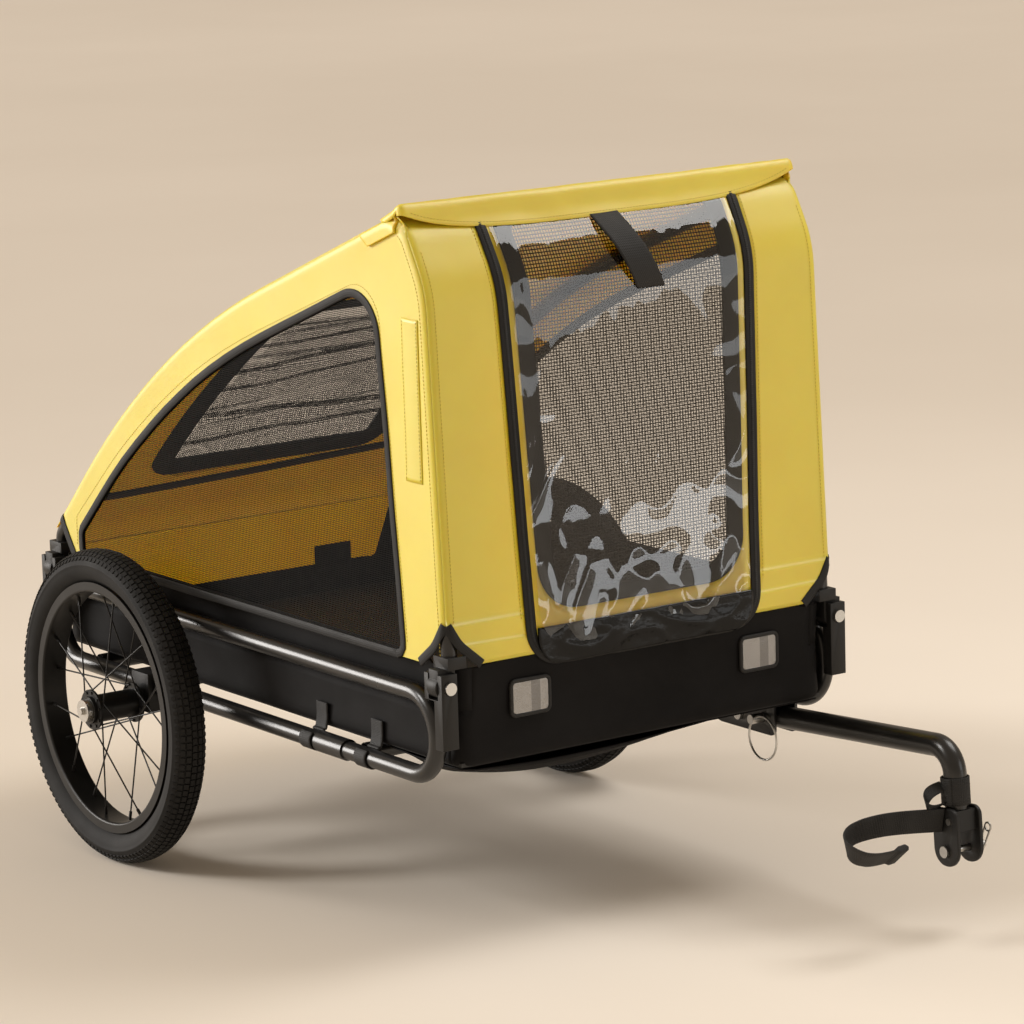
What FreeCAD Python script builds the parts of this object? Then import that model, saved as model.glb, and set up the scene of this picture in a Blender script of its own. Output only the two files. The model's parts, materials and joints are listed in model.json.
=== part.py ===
"""Two-wheeled dog trailer for a bicycle: rail frame, folding sides, cloth cover, wheels and tow bar.

Millimetres. +Z is up, the door faces -Y and the tow bar is on the +X side.  The pieces are drawn
with the wheel axle over Y = 0 and moved together at the end, so that the origin lies on the floor
under the middle of the trailer's outer box.
"""
import FreeCAD, Part
import Sketcher
import os
from math import cos, pi, radians, sin, sqrt, tan
from types import SimpleNamespace

from FreeCAD import Placement, Rotation, Vector

doc = FreeCAD.newDocument("DogTrailer")

# Driving dimensions
SIZES = {
    # wheels
    "tyre_radius": 200.0,
    "tyre_width": 45.6,
    "tyre_wall": 4.0,
    "bead_drop": 7.0,
    "tube_wall": 1.2,
    "rim_radius": 160.0,
    "rim_depth": 13.0,
    "rim_wall": 2.2,
    "half_track": 344.0,
    "hub_length": 72.0,
    "hub_radius": 17.5,
    "flange_radius": 25.5,
    "flange_thickness": 3.0,
    "flange_inset": 6.0,
    "bearing_radius": 14.0,
    "bearing_width": 8.0,
    "axle_radius": 6.0,
    "axle_cap_radius": 14.0,
    "axle_cap_length": 7.5,
    "button_radius": 4.5,
    "button_stand": 4.0,
    "button_depth": 10.0,
    "button_travel": 3.0,
    "spoke_radius": 1.0,
    "nipple_radius": 2.0,
    "nipple_length": 11.0,
    "spokes_per_side": 10.0,
    "spoke_lead": 70.0,
    # rail frame
    "rail_spread": 285.0,
    "rail_radius": 11.0,
    "rail_wall": 1.6,
    "rail_lift": 19.0,
    "rail_gap": 98.0,
    "loop_front": 648.0,
    "loop_rear": 226.0,
    "splice_front": 426.0,
    "splice_length": 60.0,
    "splice_wall": 2.0,
    "splice_slit": 1.0,
    "front_tube_front": 475.0,
    "rear_tube_rear": 150.0,
    "receiver_half_depth": 20.0,
    "receiver_wall": 7.0,
    # side hinges
    "hinge_rise": 16.0,
    "hinge_half_width": 11.0,
    "hinge_cheek": 8.0,
    "hinge_tongue": 18.7,
    "tongue_radius": 14.0,
    "hinge_bolt_radius": 4.0,
    "collar_height": 14.0,
    "collar_wall": 3.5,
    # side frames
    "side_tube_inset": 13.0,
    "side_tube_radius": 9.5,
    "side_tube_wall": 1.5,
    "foot_rise": 23.0,
    "foot_front": 658.0,
    "brow_front": 636.0,
    "brow_bend": 110.0,
    "peak_front": 593.0,
    "cover_rise": 507.0,
    "brow_drop": 76.0,
    "knee_drop": 215.0,
    "peak_bend": 34.0,
    "knee_front": 40.0,
    "knee_bend": 1300.0,
    "heel_rear": 236.0,
    "heel_rise": 19.0,
    "heel_bend": 18.0,
    # cover
    "cloth": 1.5,
    "cloth_gap": 1.0,
    "skirt_drop": 2.0,
    "window_margin": 60.0,
    "window_front_margin": 92.0,
    "window_rear": 165.0,
    "mesh": 0.8,
    "mesh_lap": 8.0,
    "roof_window_half": 172.0,
    "roof_window_front": 185.0,
    "roof_window_rear": 172.0,
    "roof_window_corner": 30.0,
    "hem_rod_radius": 5.0,
    "hem_wall": 2.2,
    "door_half_top": 176.0,
    "door_half_foot": 158.0,
    "zip_width": 10.0,
    "zip_thickness": 3.0,
    "door_border": 34.0,
    "door_foot_border": 62.0,
    "vinyl": 0.6,
    "roll_strap_width": 44.0,
    "roll_strap_length": 92.0,
    "roll_strap_thickness": 2.0,
    "front_depth": 200.0,
    "tab_depth": 44.0,
    "tab_drop": 30.0,
    "tab_thickness": 2.0,
    "flag_sleeve_length": 190.0,
    "flag_sleeve_width": 34.0,
    "flag_sleeve_drop": 108.0,
    # tub
    "tub_half_width": 269.0,
    "tub_wall": 3.0,
    "tub_rim_drop": 5.0,
    "tub_apron": 222.0,
    "floor_thickness": 5.0,
    "reflector_spread": 168.0,
    "reflector_height": 305.0,
    "reflector_width": 45.0,
    "reflector_tall": 42.0,
    "reflector_thickness": 2.0,
    "tab_width": 24.0,
    # tow bar
    "tow_side": 250.0,
    "tow_radius": 14.0,
    "tow_wall": 2.0,
    "tow_pivot_front": 545.0,
    "tow_pivot_height": 196.0,
    "tow_rise": 3.9,
    "tow_tail": 18.0,
    "tow_length": 387.0,
    "tow_bend": 32.0,
    "tow_drop": 72.0,
    "channel_wall": 4.0,
    "channel_front": 614.0,
    "channel_roof": 221.0,
    "channel_floor": 179.0,
    "tow_pivot_radius": 4.0,
    "lock_pin_lead": 45.0,
    "lock_pin_radius": 4.0,
    "bail_radius": 27.0,
    "bail_wire": 1.4,
    "coupler_plate": 5.0,
    "coupler_width": 44.0,
    "coupler_rise": 3.0,
    "coupler_fall": 67.0,
    "hitch_pin_drop": 49.0,
    "hitch_pin_radius": 4.0,
    "clip_lean": 25.0,
    "strap_width": 30.0,
    "strap_thickness": 2.4,
    # fits
    "running_gap": 0.05,
    "press_gap": 0.02,
    "seat_gap": 0.3,
}

sheet = doc.addObject("Spreadsheet::Sheet", "Sizes")
for row, (alias, value) in enumerate(SIZES.items(), start=1):
    sheet.set(f"A{row}", alias)
    sheet.set(f"B{row}", str(value))
    sheet.setAlias(f"B{row}", alias)
doc.recompute()
S = SimpleNamespace(**{alias: float(sheet.get(alias)) for alias in SIZES})

X_AXIS = Vector(1, 0, 0)
Y_AXIS = Vector(0, 1, 0)
Z_AXIS = Vector(0, 0, 1)
SIDES = {"left": 1, "right": -1}
nodes = {}

# Heights that follow from the axle: it carries the rails, they carry the hinges, and these the cover
LOWER_RAIL = S.tyre_radius + S.rail_lift
UPPER_RAIL = LOWER_RAIL + S.rail_gap
HINGE_HEIGHT = UPPER_RAIL + S.hinge_rise
FOOT_HEIGHT = HINGE_HEIGHT + S.foot_rise
HEEL_HEIGHT = FOOT_HEIGHT + S.heel_rise
PEAK_HEIGHT = FOOT_HEIGHT + S.cover_rise
BROW_HEIGHT = PEAK_HEIGHT - S.brow_drop
KNEE_HEIGHT = PEAK_HEIGHT - S.knee_drop
SKIRT_HEIGHT = FOOT_HEIGHT - S.skirt_drop
TUB_RIM = FOOT_HEIGHT - S.tub_rim_drop


def register(label, piece):
    """Name a finished sub-part."""
    piece.Label = label
    nodes[label] = piece
    return piece


def feature(label, shape):
    """A sub-part whose shape is worked out from the sheet's values."""
    piece = doc.addObject("Part::Feature", label)
    piece.Shape = shape
    return register(label, piece)


def box(x_range, y_range, z_range):
    """A block between sorted limits."""
    low = Vector(min(x_range), min(y_range), min(z_range))
    high = Vector(max(x_range), max(y_range), max(z_range))
    span = high - low
    return Part.makeBox(span.x, span.y, span.z, low)


def rod(start, end, radius):
    """A round bar between two points."""
    along = end - start
    return Part.makeCylinder(radius, along.Length, start, along)


def pipe(start, end, outer, inner):
    """A straight hollow bar between two points."""
    return rod(start, end, outer).cut(rod(start, end, inner))


def rounded(points, closed=False):
    """Lines and tangent arcs through (u, v, radius) corners."""
    count = len(points)
    corners = [Vector(u, v, 0) for u, v, _ in points]
    entries = list(corners)
    exits = list(corners)
    middles = [None] * count
    for index, (_, _, radius) in enumerate(points):
        at_end = not closed and index in (0, count - 1)
        if radius == 0 or at_end:
            continue
        here = corners[index]
        back = (corners[index - 1] - here).normalize()
        ahead = (corners[(index + 1) % count] - here).normalize()
        half = back.getAngle(ahead) / 2
        reach = radius / tan(half)
        entries[index] = here + back * reach
        exits[index] = here + ahead * reach
        middles[index] = here + (back + ahead).normalize() * (radius / sin(half) - radius)
    edges = []
    for index in range(count):
        if middles[index] is not None:
            edges.append(Part.Arc(entries[index], middles[index], exits[index]))
        following = (index + 1) % count
        if following == 0 and not closed:
            break
        if exits[index].distanceToPoint(entries[following]) > 1e-6:
            edges.append(Part.LineSegment(exits[index], entries[following]))
    return edges


def grown(points, distance):
    """Move an open (u, v, radius) outline to its left by a distance."""
    moved = []
    last = len(points) - 1
    for index, (u, v, radius) in enumerate(points):
        normals = []
        for first in (index - 1, index):
            if 0 <= first < last:
                du = points[first + 1][0] - points[first][0]
                dv = points[first + 1][1] - points[first][1]
                length = sqrt(du * du + dv * dv)
                normals.append((-dv / length, du / length))
        one = normals[0]
        two = normals[-1]
        share = distance / (1 + one[0] * two[0] + one[1] * two[1])
        new_radius = radius + distance if radius else 0
        moved.append((u + (one[0] + two[0]) * share, v + (one[1] + two[1]) * share, new_radius))
    return moved


def standing(across):
    """The matrix that stands a flat (u, v, w) shape up as (y, z, x), moved across."""
    return FreeCAD.Matrix(0, 0, 1, across, 1, 0, 0, 0, 0, 1, 0, 0, 0, 0, 0, 1)


def origin_plane(body, role):
    """One of a body's own origin planes."""
    return next(plane for plane in body.Origin.OriginFeatures if plane.Role == role)


def sketch_on(body, role, edges, offset=0.0):
    """A sketch on an origin plane of its body."""
    sketch = body.newObject("Sketcher::SketchObject", "Sketch")
    sketch.AttachmentSupport = (origin_plane(body, role), [""])
    sketch.MapMode = "FlatFace"
    sketch.AttachmentOffset = Placement(Vector(0, 0, offset), Rotation())
    sketch.addGeometry(edges, False)
    return sketch


def padded(label, role, edges, thickness, offset=0.0, placement=Placement()):
    """A flat piece: an outline padded by a thickness of the sheet."""
    body = doc.addObject("PartDesign::Body", label)
    sketch = sketch_on(body, role, edges, offset)
    pad = body.newObject("PartDesign::Pad", "Pad")
    pad.Profile = sketch
    pad.setExpression("Length", thickness)
    body.Placement = placement
    return register(label, body)


def turned(label, edges, placement):
    """A round piece: an outline of (along, radius) points turned about its own X axis."""
    body = doc.addObject("PartDesign::Body", label)
    sketch = sketch_on(body, "XY_Plane", edges)
    turn = body.newObject("PartDesign::Revolution", "Turn")
    turn.Profile = sketch
    turn.ReferenceAxis = (sketch, ["H_Axis"])
    turn.Angle = 360
    body.Placement = placement
    return register(label, body)


def bent_tube(label, plane, route, side, section, radius, wall, placement=Placement()):
    """A bent tube: a ring swept along a route; section is (plane, offset, centre)."""
    body = doc.addObject("PartDesign::Body", label)
    path = sketch_on(body, plane, rounded(route), side)
    section_plane, section_offset, centre = section
    ring = sketch_on(body, section_plane, [], section_offset)
    for name, size in (("outer", radius), ("inner", f"{radius} - {wall}")):
        index = ring.addGeometry(Part.Circle(Vector(*centre, 0), Z_AXIS, 10.0), False)
        ring.addConstraint(sketch_fix(index, "DistanceX", centre[0]))
        ring.addConstraint(sketch_fix(index, "DistanceY", centre[1]))
        number = ring.addConstraint(Sketcher.Constraint("Radius", index, 10.0))
        ring.renameConstraint(number, name)
        ring.setExpression(f"Constraints.{name}", size)
    sweep = body.newObject("PartDesign::AdditivePipe", "Sweep")
    sweep.Profile = ring
    sweep.Spine = path
    body.Placement = placement
    return register(label, body)


def sketch_fix(index, kind, value):
    """Hold a circle's centre at a distance from the sketch's origin."""
    return Sketcher.Constraint(kind, -1, 1, index, 3, value)


def straight_tube(label, start, end, radius, wall):
    """A straight tube: two cylinders of the sheet's sizes and their cut."""
    along = end - start
    turn = Rotation(Z_AXIS, along)
    outer = doc.addObject("Part::Cylinder", f"{label}_outer")
    inner = doc.addObject("Part::Cylinder", f"{label}_inner")
    for cylinder, size in ((outer, radius), (inner, f"{radius} - {wall}")):
        cylinder.setExpression("Radius", size)
        cylinder.Height = along.Length
        cylinder.Placement = Placement(start, turn)
    tube = doc.addObject("Part::Cut", label)
    tube.Base = outer
    tube.Tool = inner
    return register(label, tube)


# Wheels: tyre, inner tube, rim, hub, bearings and spokes turn together on a fixed axle
SECTION_RADIUS = S.tyre_width / 2
SECTION_CENTRE = S.tyre_radius - SECTION_RADIUS
INNER_SECTION = SECTION_RADIUS - S.tyre_wall
BEAD_HALF = sqrt(SECTION_RADIUS ** 2 - (SECTION_CENTRE - S.rim_radius) ** 2)
BEAD_FOOT = S.rim_radius - S.bead_drop
BEAD_INNER = BEAD_HALF - S.tyre_wall
INNER_START = SECTION_CENTRE - sqrt(INNER_SECTION ** 2 - BEAD_INNER ** 2)
RIM_INNER = S.rim_radius - S.rim_depth
FLANGE_AT = S.hub_length / 2 - S.flange_inset
FLANGE_NEAR = FLANGE_AT - S.flange_thickness / 2
FLANGE_FAR = FLANGE_AT + S.flange_thickness / 2
HEAD_CIRCLE = S.flange_radius - 3.5
NIPPLE_SIDE = 4.0


def tyre_outline():
    outer = Part.Arc(
        Vector(-BEAD_HALF, S.rim_radius, 0),
        Vector(0, S.tyre_radius, 0),
        Vector(BEAD_HALF, S.rim_radius, 0),
    )
    inner = Part.Arc(
        Vector(BEAD_INNER, INNER_START, 0),
        Vector(0, SECTION_CENTRE + INNER_SECTION, 0),
        Vector(-BEAD_INNER, INNER_START, 0),
    )
    right = rounded([
        (BEAD_HALF, S.rim_radius, 0),
        (BEAD_HALF, BEAD_FOOT, 0),
        (BEAD_INNER, BEAD_FOOT, 0),
        (BEAD_INNER, INNER_START, 0),
    ])
    left = rounded([
        (-BEAD_INNER, INNER_START, 0),
        (-BEAD_INNER, BEAD_FOOT, 0),
        (-BEAD_HALF, BEAD_FOOT, 0),
        (-BEAD_HALF, S.rim_radius, 0),
    ])
    return [outer, *right, inner, *left]


def rim_outline():
    side = BEAD_HALF + S.seat_gap
    outside = side + S.rim_wall
    well = RIM_INNER + S.rim_wall
    return rounded([
        (-outside, S.rim_radius, 0),
        (-outside, RIM_INNER, 3.0),
        (outside, RIM_INNER, 3.0),
        (outside, S.rim_radius, 0),
        (side, S.rim_radius, 0),
        (side, well, 0),
        (-side, well, 0),
        (-side, S.rim_radius, 0),
    ], closed=True)


def spoke_turns(face):
    """The (hub, rim) angles of each spoke on one face, every second one laced the other way."""
    count = int(S.spokes_per_side)
    start = 0.25 if face > 0 else 0.75
    turns = []
    for index in range(count):
        rim_turn = 360 / count * (index + start)
        lead = S.spoke_lead if index % 2 else -S.spoke_lead
        turns.append((radians(rim_turn + lead), radians(rim_turn)))
    return turns


def polar(along, radius, turn):
    """A point beside the wheel's middle plane, at a radius and an angle about the axle."""
    return Vector(along, radius * cos(turn), radius * sin(turn))


def wheel_hub():
    """A turned barrel with two flanges, drilled for the spokes."""
    end = S.hub_length / 2
    seat = end - S.bearing_width
    bore = S.axle_radius + 3.0
    outline = rounded([
        (-end, S.hub_radius, 0),
        (-FLANGE_FAR, S.hub_radius, 0),
        (-FLANGE_FAR, S.flange_radius, 0),
        (-FLANGE_NEAR, S.flange_radius, 0),
        (-FLANGE_NEAR, S.hub_radius, 0),
        (FLANGE_NEAR, S.hub_radius, 0),
        (FLANGE_NEAR, S.flange_radius, 0),
        (FLANGE_FAR, S.flange_radius, 0),
        (FLANGE_FAR, S.hub_radius, 0),
        (end, S.hub_radius, 0),
        (end, S.bearing_radius, 0),
        (seat, S.bearing_radius, 0),
        (seat, bore, 0),
        (-seat, bore, 0),
        (-seat, S.bearing_radius, 0),
        (-end, S.bearing_radius, 0),
    ], closed=True)
    wire = Part.Wire([edge.toShape() for edge in outline])
    barrel = Part.Face(wire).revolve(Vector(), X_AXIS, 360)
    holes = []
    for face in (1, -1):
        for hub_turn, _ in spoke_turns(face):
            start = polar(face * (FLANGE_NEAR - 1.0), HEAD_CIRCLE, hub_turn)
            end_point = polar(face * (FLANGE_FAR + 1.0), HEAD_CIRCLE, hub_turn)
            holes.append(rod(start, end_point, S.spoke_radius + S.running_gap))
    return barrel.cut(holes)


def wheel_spokes():
    """Crossed spokes: a head outside the flange, an elbow through it and a nipple under the rim."""
    spokes = []
    for face in (1, -1):
        for hub_turn, rim_turn in spoke_turns(face):
            head_x = face * (FLANGE_FAR + S.running_gap)
            bend_x = face * (FLANGE_NEAR - S.spoke_radius - 0.5)
            start = polar(bend_x, HEAD_CIRCLE, hub_turn)
            end = polar(face * NIPPLE_SIDE, RIM_INNER - 0.6, rim_turn)
            along = (end - start).normalize()
            shank = rod(start, end, S.spoke_radius)
            elbow = rod(start, polar(head_x, HEAD_CIRCLE, hub_turn), S.spoke_radius)
            knee = Part.makeSphere(S.spoke_radius, start)
            head_end = polar(head_x + face * 1.5, HEAD_CIRCLE, hub_turn)
            head = rod(polar(head_x, HEAD_CIRCLE, hub_turn), head_end, S.nipple_radius)
            nipple = rod(end - along * S.nipple_length, end, S.nipple_radius)
            spokes.append(shank.fuse([elbow, knee, head, nipple]))
    return Part.makeCompound(spokes)


def bearing_rings():
    bore = S.axle_radius + S.running_gap
    outside = S.bearing_radius - S.press_gap
    rings = []
    for face in (1, -1):
        end = Vector(face * S.hub_length / 2, 0, 0)
        start = end - X_AXIS * face * S.bearing_width
        rings.append(pipe(start, end, outside, bore))
    return Part.makeCompound(rings)


RECEIVER_OUT = S.rail_spread + S.rail_radius + S.receiver_wall
RECEIVER_IN = S.tub_half_width + S.seat_gap
AXLE_SEAT = RECEIVER_IN + 4.0
AXLE_END = S.half_track + S.hub_length / 2 + S.seat_gap + S.axle_cap_length


def wheel_placement(sign):
    turn = Rotation() if sign > 0 else Rotation(Z_AXIS, 180)
    return Placement(Vector(sign * S.half_track, 0, S.tyre_radius), turn)


for side, sign in SIDES.items():
    spot = wheel_placement(sign)
    turned(f"{side}_tyre", tyre_outline(), spot)
    turned(f"{side}_rim", rim_outline(), spot)
    skin = INNER_SECTION - S.seat_gap
    ring = Part.makeTorus(SECTION_CENTRE, skin, Vector(), X_AXIS)
    hollow = Part.makeTorus(SECTION_CENTRE, skin - S.tube_wall, Vector(), X_AXIS)
    feature(f"{side}_inner_tube", ring.cut(hollow)).Placement = spot
    feature(f"{side}_hub", wheel_hub()).Placement = spot
    feature(f"{side}_spokes", wheel_spokes()).Placement = spot
    feature(f"{side}_bearings", bearing_rings()).Placement = spot

# Axles and their release buttons
axles = []
for sign in SIDES.values():
    start = Vector(sign * AXLE_SEAT, 0, S.tyre_radius)
    end = Vector(sign * AXLE_END, 0, S.tyre_radius)
    out = X_AXIS * sign
    cap = rod(end - out * S.axle_cap_length, end, S.axle_cap_radius)
    spacer_start = Vector(sign * (RECEIVER_OUT + S.seat_gap), 0, S.tyre_radius)
    spacer_end = Vector(sign * (S.half_track - S.hub_length / 2 - S.seat_gap), 0, S.tyre_radius)
    spacer = rod(spacer_start, spacer_end, S.axle_radius + 3.0)
    button_bore_length = S.button_depth + S.button_travel
    bore = rod(end - out * button_bore_length, end, S.button_radius + S.running_gap)
    axles.append(rod(start, end, S.axle_radius).fuse([cap, spacer]).cut(bore))
feature("axles", Part.makeCompound(axles))

for side, sign in SIDES.items():
    button = doc.addObject("Part::Cylinder", f"{side}_axle_button")
    button.setExpression("Radius", "Sizes.button_radius")
    button.setExpression("Height", "Sizes.button_depth + Sizes.button_stand")
    place = Vector(sign * (AXLE_END - S.button_depth), 0, S.tyre_radius)
    button.Placement = Placement(place, Rotation(Z_AXIS, X_AXIS * sign))
    register(f"{side}_axle_button", button)

# Rail frame: one closed loop a side, cross tubes under the floor and axle receivers
LOOP_BEND = (UPPER_RAIL - LOWER_RAIL) / 2
for side, sign in SIDES.items():
    loop_start = -S.splice_front - S.splice_slit / 2
    loop_end = -S.splice_front + S.splice_slit / 2
    route = [
        (loop_start, LOWER_RAIL, 0),
        (-S.loop_front, LOWER_RAIL, LOOP_BEND),
        (-S.loop_front, UPPER_RAIL, LOOP_BEND),
        (S.loop_rear, UPPER_RAIL, LOOP_BEND),
        (S.loop_rear, LOWER_RAIL, LOOP_BEND),
        (loop_end, LOWER_RAIL, 0),
    ]
    across = sign * S.rail_spread
    section = ("XZ_Plane", -loop_start, (across, LOWER_RAIL))
    bent_tube(f"{side}_rail_loop", "YZ_Plane", route, across, section,
              "Sizes.rail_radius", "Sizes.rail_wall")

splices = []
for sign in SIDES.values():
    middle = Vector(sign * S.rail_spread, -S.splice_front, LOWER_RAIL)
    half = Y_AXIS * S.splice_length / 2
    bore = S.rail_radius + S.press_gap
    splices.append(pipe(middle - half, middle + half, bore + S.splice_wall, bore))
feature("rail_splices", Part.makeCompound(splices))

RAIL_INSIDE = S.rail_spread - S.rail_radius
for label, place, reach in (
    ("front_cross_tube", -S.front_tube_front, RAIL_INSIDE),
    ("axle_cross_tube", 0.0, RECEIVER_IN),
    ("rear_cross_tube", S.rear_tube_rear, RAIL_INSIDE),
):
    start = Vector(-reach, place, LOWER_RAIL)
    end = Vector(reach, place, LOWER_RAIL)
    straight_tube(label, start, end, "Sizes.rail_radius", "Sizes.rail_wall")

receivers = []
for sign in SIDES.values():
    top = LOWER_RAIL + S.rail_radius + S.receiver_wall
    bottom = S.tyre_radius - S.axle_radius - S.receiver_wall
    depth = (-S.receiver_half_depth, S.receiver_half_depth)
    block = box((sign * RECEIVER_IN, sign * RECEIVER_OUT), depth, (bottom, top))
    rail = Vector(sign * S.rail_spread, 0, LOWER_RAIL)
    through = Y_AXIS * (S.receiver_half_depth + 1.0)
    rail_hole = rod(rail - through, rail + through, S.rail_radius + S.press_gap)
    blind = Vector(sign * (AXLE_SEAT - S.seat_gap), 0, S.tyre_radius)
    open_end = Vector(sign * (RECEIVER_OUT + 1.0), 0, S.tyre_radius)
    axle_hole = rod(blind, open_end, S.axle_radius + S.press_gap)
    receivers.append(block.cut([rail_hole, axle_hole]))
feature("axle_receivers", Part.makeCompound(receivers))

# Side frames: the tube's line from the front foot over the roof to the rear heel
LEG_SLOPE = (S.foot_front - S.brow_front) / (BROW_HEIGHT - FOOT_HEIGHT)
SIDE_LINE = [
    (-S.foot_front, FOOT_HEIGHT, 0),
    (-S.brow_front, BROW_HEIGHT, S.brow_bend),
    (-S.peak_front, PEAK_HEIGHT, S.peak_bend),
    (-S.knee_front, KNEE_HEIGHT, S.knee_bend),
    (S.heel_rear, HEEL_HEIGHT, S.heel_bend),
    (S.heel_rear, FOOT_HEIGHT, 0),
]
SIDE_ACROSS = S.rail_spread - S.side_tube_inset

for side, sign in SIDES.items():
    across = sign * SIDE_ACROSS
    section = ("XY_Plane", FOOT_HEIGHT, (across, S.heel_rear))
    bent_tube(f"{side}_side_tube", "YZ_Plane", SIDE_LINE[::-1], across, section,
              "Sizes.side_tube_radius", "Sizes.side_tube_wall")

# Side hinges: a clevis on each end of each loop and a knuckle on each foot of each side frame
HINGE_ENDS = {
    "front": (-1, S.loop_front + S.rail_radius, S.foot_front),
    "rear": (1, S.loop_rear + S.rail_radius, S.heel_rear),
}
CHEEK_OUT = S.seat_gap + 2 * S.hinge_cheek
TONGUE_OUT = CHEEK_OUT - S.hinge_cheek - S.seat_gap
TONGUE_IN = TONGUE_OUT - S.hinge_tongue
CHEEK_IN = TONGUE_IN - S.seat_gap - S.hinge_cheek
CLEVIS_FLOOR = HINGE_HEIGHT - S.tongue_radius - 0.5
CLEVIS_TOP = HINGE_HEIGHT + S.hinge_half_width + 5.0
CLEVIS_FOOT = (LOWER_RAIL + UPPER_RAIL) / 2 - 8.0
COLLAR_FOOT = FOOT_HEIGHT - 3.0


def along_y(way, end, offset):
    """A Y place counted outward from the end of a rail loop."""
    return way * (end + offset)


def hinge_axis_rod(sign, way, end, start, stop, radius):
    across = sign * S.rail_spread
    first = Vector(across, along_y(way, end, start), HINGE_HEIGHT)
    last = Vector(across, along_y(way, end, stop), HINGE_HEIGHT)
    return rod(first, last, radius)


def hinge_base(sign, way, end):
    across = (
        sign * (S.rail_spread - S.hinge_half_width),
        sign * (S.rail_spread + S.hinge_half_width),
    )
    outer = along_y(way, end, CHEEK_OUT)
    plate = box(across, (along_y(way, end, S.seat_gap), outer), (CLEVIS_FOOT, CLEVIS_TOP))
    fork_floor = CLEVIS_FLOOR - 1.0
    fork = box(across, (along_y(way, end, CHEEK_IN), outer), (fork_floor, CLEVIS_TOP))
    slot_y = (along_y(way, end, TONGUE_IN - S.seat_gap), along_y(way, end, TONGUE_OUT + S.seat_gap))
    wide = (across[0] - sign, across[1] + sign)
    slot = box(wide, slot_y, (CLEVIS_FLOOR, CLEVIS_TOP + 1.0))
    hole = hinge_axis_rod(sign, way, end, CHEEK_IN - 1, CHEEK_OUT + 1,
                          S.hinge_bolt_radius + S.press_gap)
    return plate.fuse(fork).cut([slot, hole]).removeSplitter()


def hinge_knuckle(sign, way, end, tube_y):
    tongue = hinge_axis_rod(sign, way, end, TONGUE_IN, TONGUE_OUT, S.tongue_radius)
    tongue_y = (along_y(way, end, TONGUE_IN), along_y(way, end, TONGUE_OUT))
    arm_x = (
        sign * (S.rail_spread - S.tongue_radius),
        sign * (S.rail_spread + S.tongue_radius - 4.0),
    )
    arm = box(arm_x, tongue_y, (HINGE_HEIGHT, COLLAR_FOOT + 1.0))
    half = S.side_tube_radius + S.collar_wall
    collar_x = (sign * (SIDE_ACROSS - half), sign * (SIDE_ACROSS + half - 0.5))
    collar_y = (way * tube_y - half - 2.0, way * tube_y + half + 2.0)
    collar = box(collar_x, collar_y, (COLLAR_FOOT, COLLAR_FOOT + S.collar_height))
    lean = -LEG_SLOPE if way < 0 else 0.0
    foot = Vector(sign * SIDE_ACROSS, way * tube_y, FOOT_HEIGHT)
    up = Vector(0, -lean, 1).normalize()
    socket = rod(foot, foot + up * 60, S.side_tube_radius + S.press_gap)
    bolt_hole = hinge_axis_rod(sign, way, end, TONGUE_IN - 1, TONGUE_OUT + 1,
                               S.hinge_bolt_radius + S.running_gap)
    return tongue.fuse([arm, collar]).cut([socket, bolt_hole]).removeSplitter()


def hinge_bolt(sign, way, end):
    head_start = CHEEK_OUT + S.seat_gap
    nut_end = CHEEK_IN - S.seat_gap
    shank = hinge_axis_rod(sign, way, end, nut_end - 5.0, head_start, S.hinge_bolt_radius)
    head = hinge_axis_rod(sign, way, end, head_start, head_start + 4.0, 7.5)
    nut = hinge_axis_rod(sign, way, end, nut_end - 5.0, nut_end, 6.5)
    return shank.fuse([head, nut])


bases = []
bolts = []
for side, sign in SIDES.items():
    knuckles = []
    for way, end, tube_y in HINGE_ENDS.values():
        bases.append(hinge_base(sign, way, end))
        bolts.append(hinge_bolt(sign, way, end))
        knuckles.append(hinge_knuckle(sign, way, end, tube_y))
    feature(f"{side}_knuckles", Part.makeCompound(knuckles))
feature("hinge_bases", Part.makeCompound(bases))
feature("hinge_bolts", Part.makeCompound(bolts))

# Cover sides: a sail-shaped cloth panel with a mesh window, carried by each side frame
INSIDE_OFFSET = S.side_tube_radius + S.cloth_gap
OUTSIDE_OFFSET = INSIDE_OFFSET + S.cloth
PANEL_IN = SIDE_ACROSS + S.side_tube_radius + S.seat_gap
CUT_OUT = 50.0


def side_outline():
    """The side's outer edge, with the corners over both hinges cut away."""
    _, brow, peak, knee, heel, _ = grown(SIDE_LINE, OUTSIDE_OFFSET)
    arch = SKIRT_HEIGHT + CUT_OUT
    front_arch = (-(S.foot_front + OUTSIDE_OFFSET) + (arch - FOOT_HEIGHT) * LEG_SLOPE, arch, 0)
    rear_run = (heel[1] - knee[1]) / (heel[0] - knee[0])
    tail = heel[0] - CUT_OUT
    tail_back = tail + CUT_OUT / 2
    tail_top = (tail_back, heel[1] + rear_run * (tail_back - heel[0]), 0)
    return [
        (front_arch[0] + CUT_OUT, SKIRT_HEIGHT, 0),
        front_arch,
        brow,
        (peak[0], peak[1], 12.0),
        knee,
        tail_top,
        (tail - 10.0, SKIRT_HEIGHT, 0),
    ]


def window_outline(lap):
    """The mesh window, set in from the roof; lap makes it larger all round."""
    inner = grown(SIDE_LINE, OUTSIDE_OFFSET - S.window_margin)
    _, _, peak, knee, heel, _ = inner
    front_shift = S.window_front_margin - S.window_margin
    foot = SKIRT_HEIGHT + 9.0 - lap
    lean_foot = -(S.foot_front + OUTSIDE_OFFSET) + S.window_front_margin - lap
    top = (peak[0] + front_shift - lap * 0.6, peak[1] - front_shift * 0.45 + lap)
    return [
        (lean_foot, foot, 10.0),
        (top[0], top[1], 48.0),
        (knee[0], knee[1] + lap * 1.2, knee[2]),
        (S.window_rear + lap, heel[1] + 36.0 + lap * 1.4, 10.0),
        (S.window_rear + lap, foot, 8.0),
    ]


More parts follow.
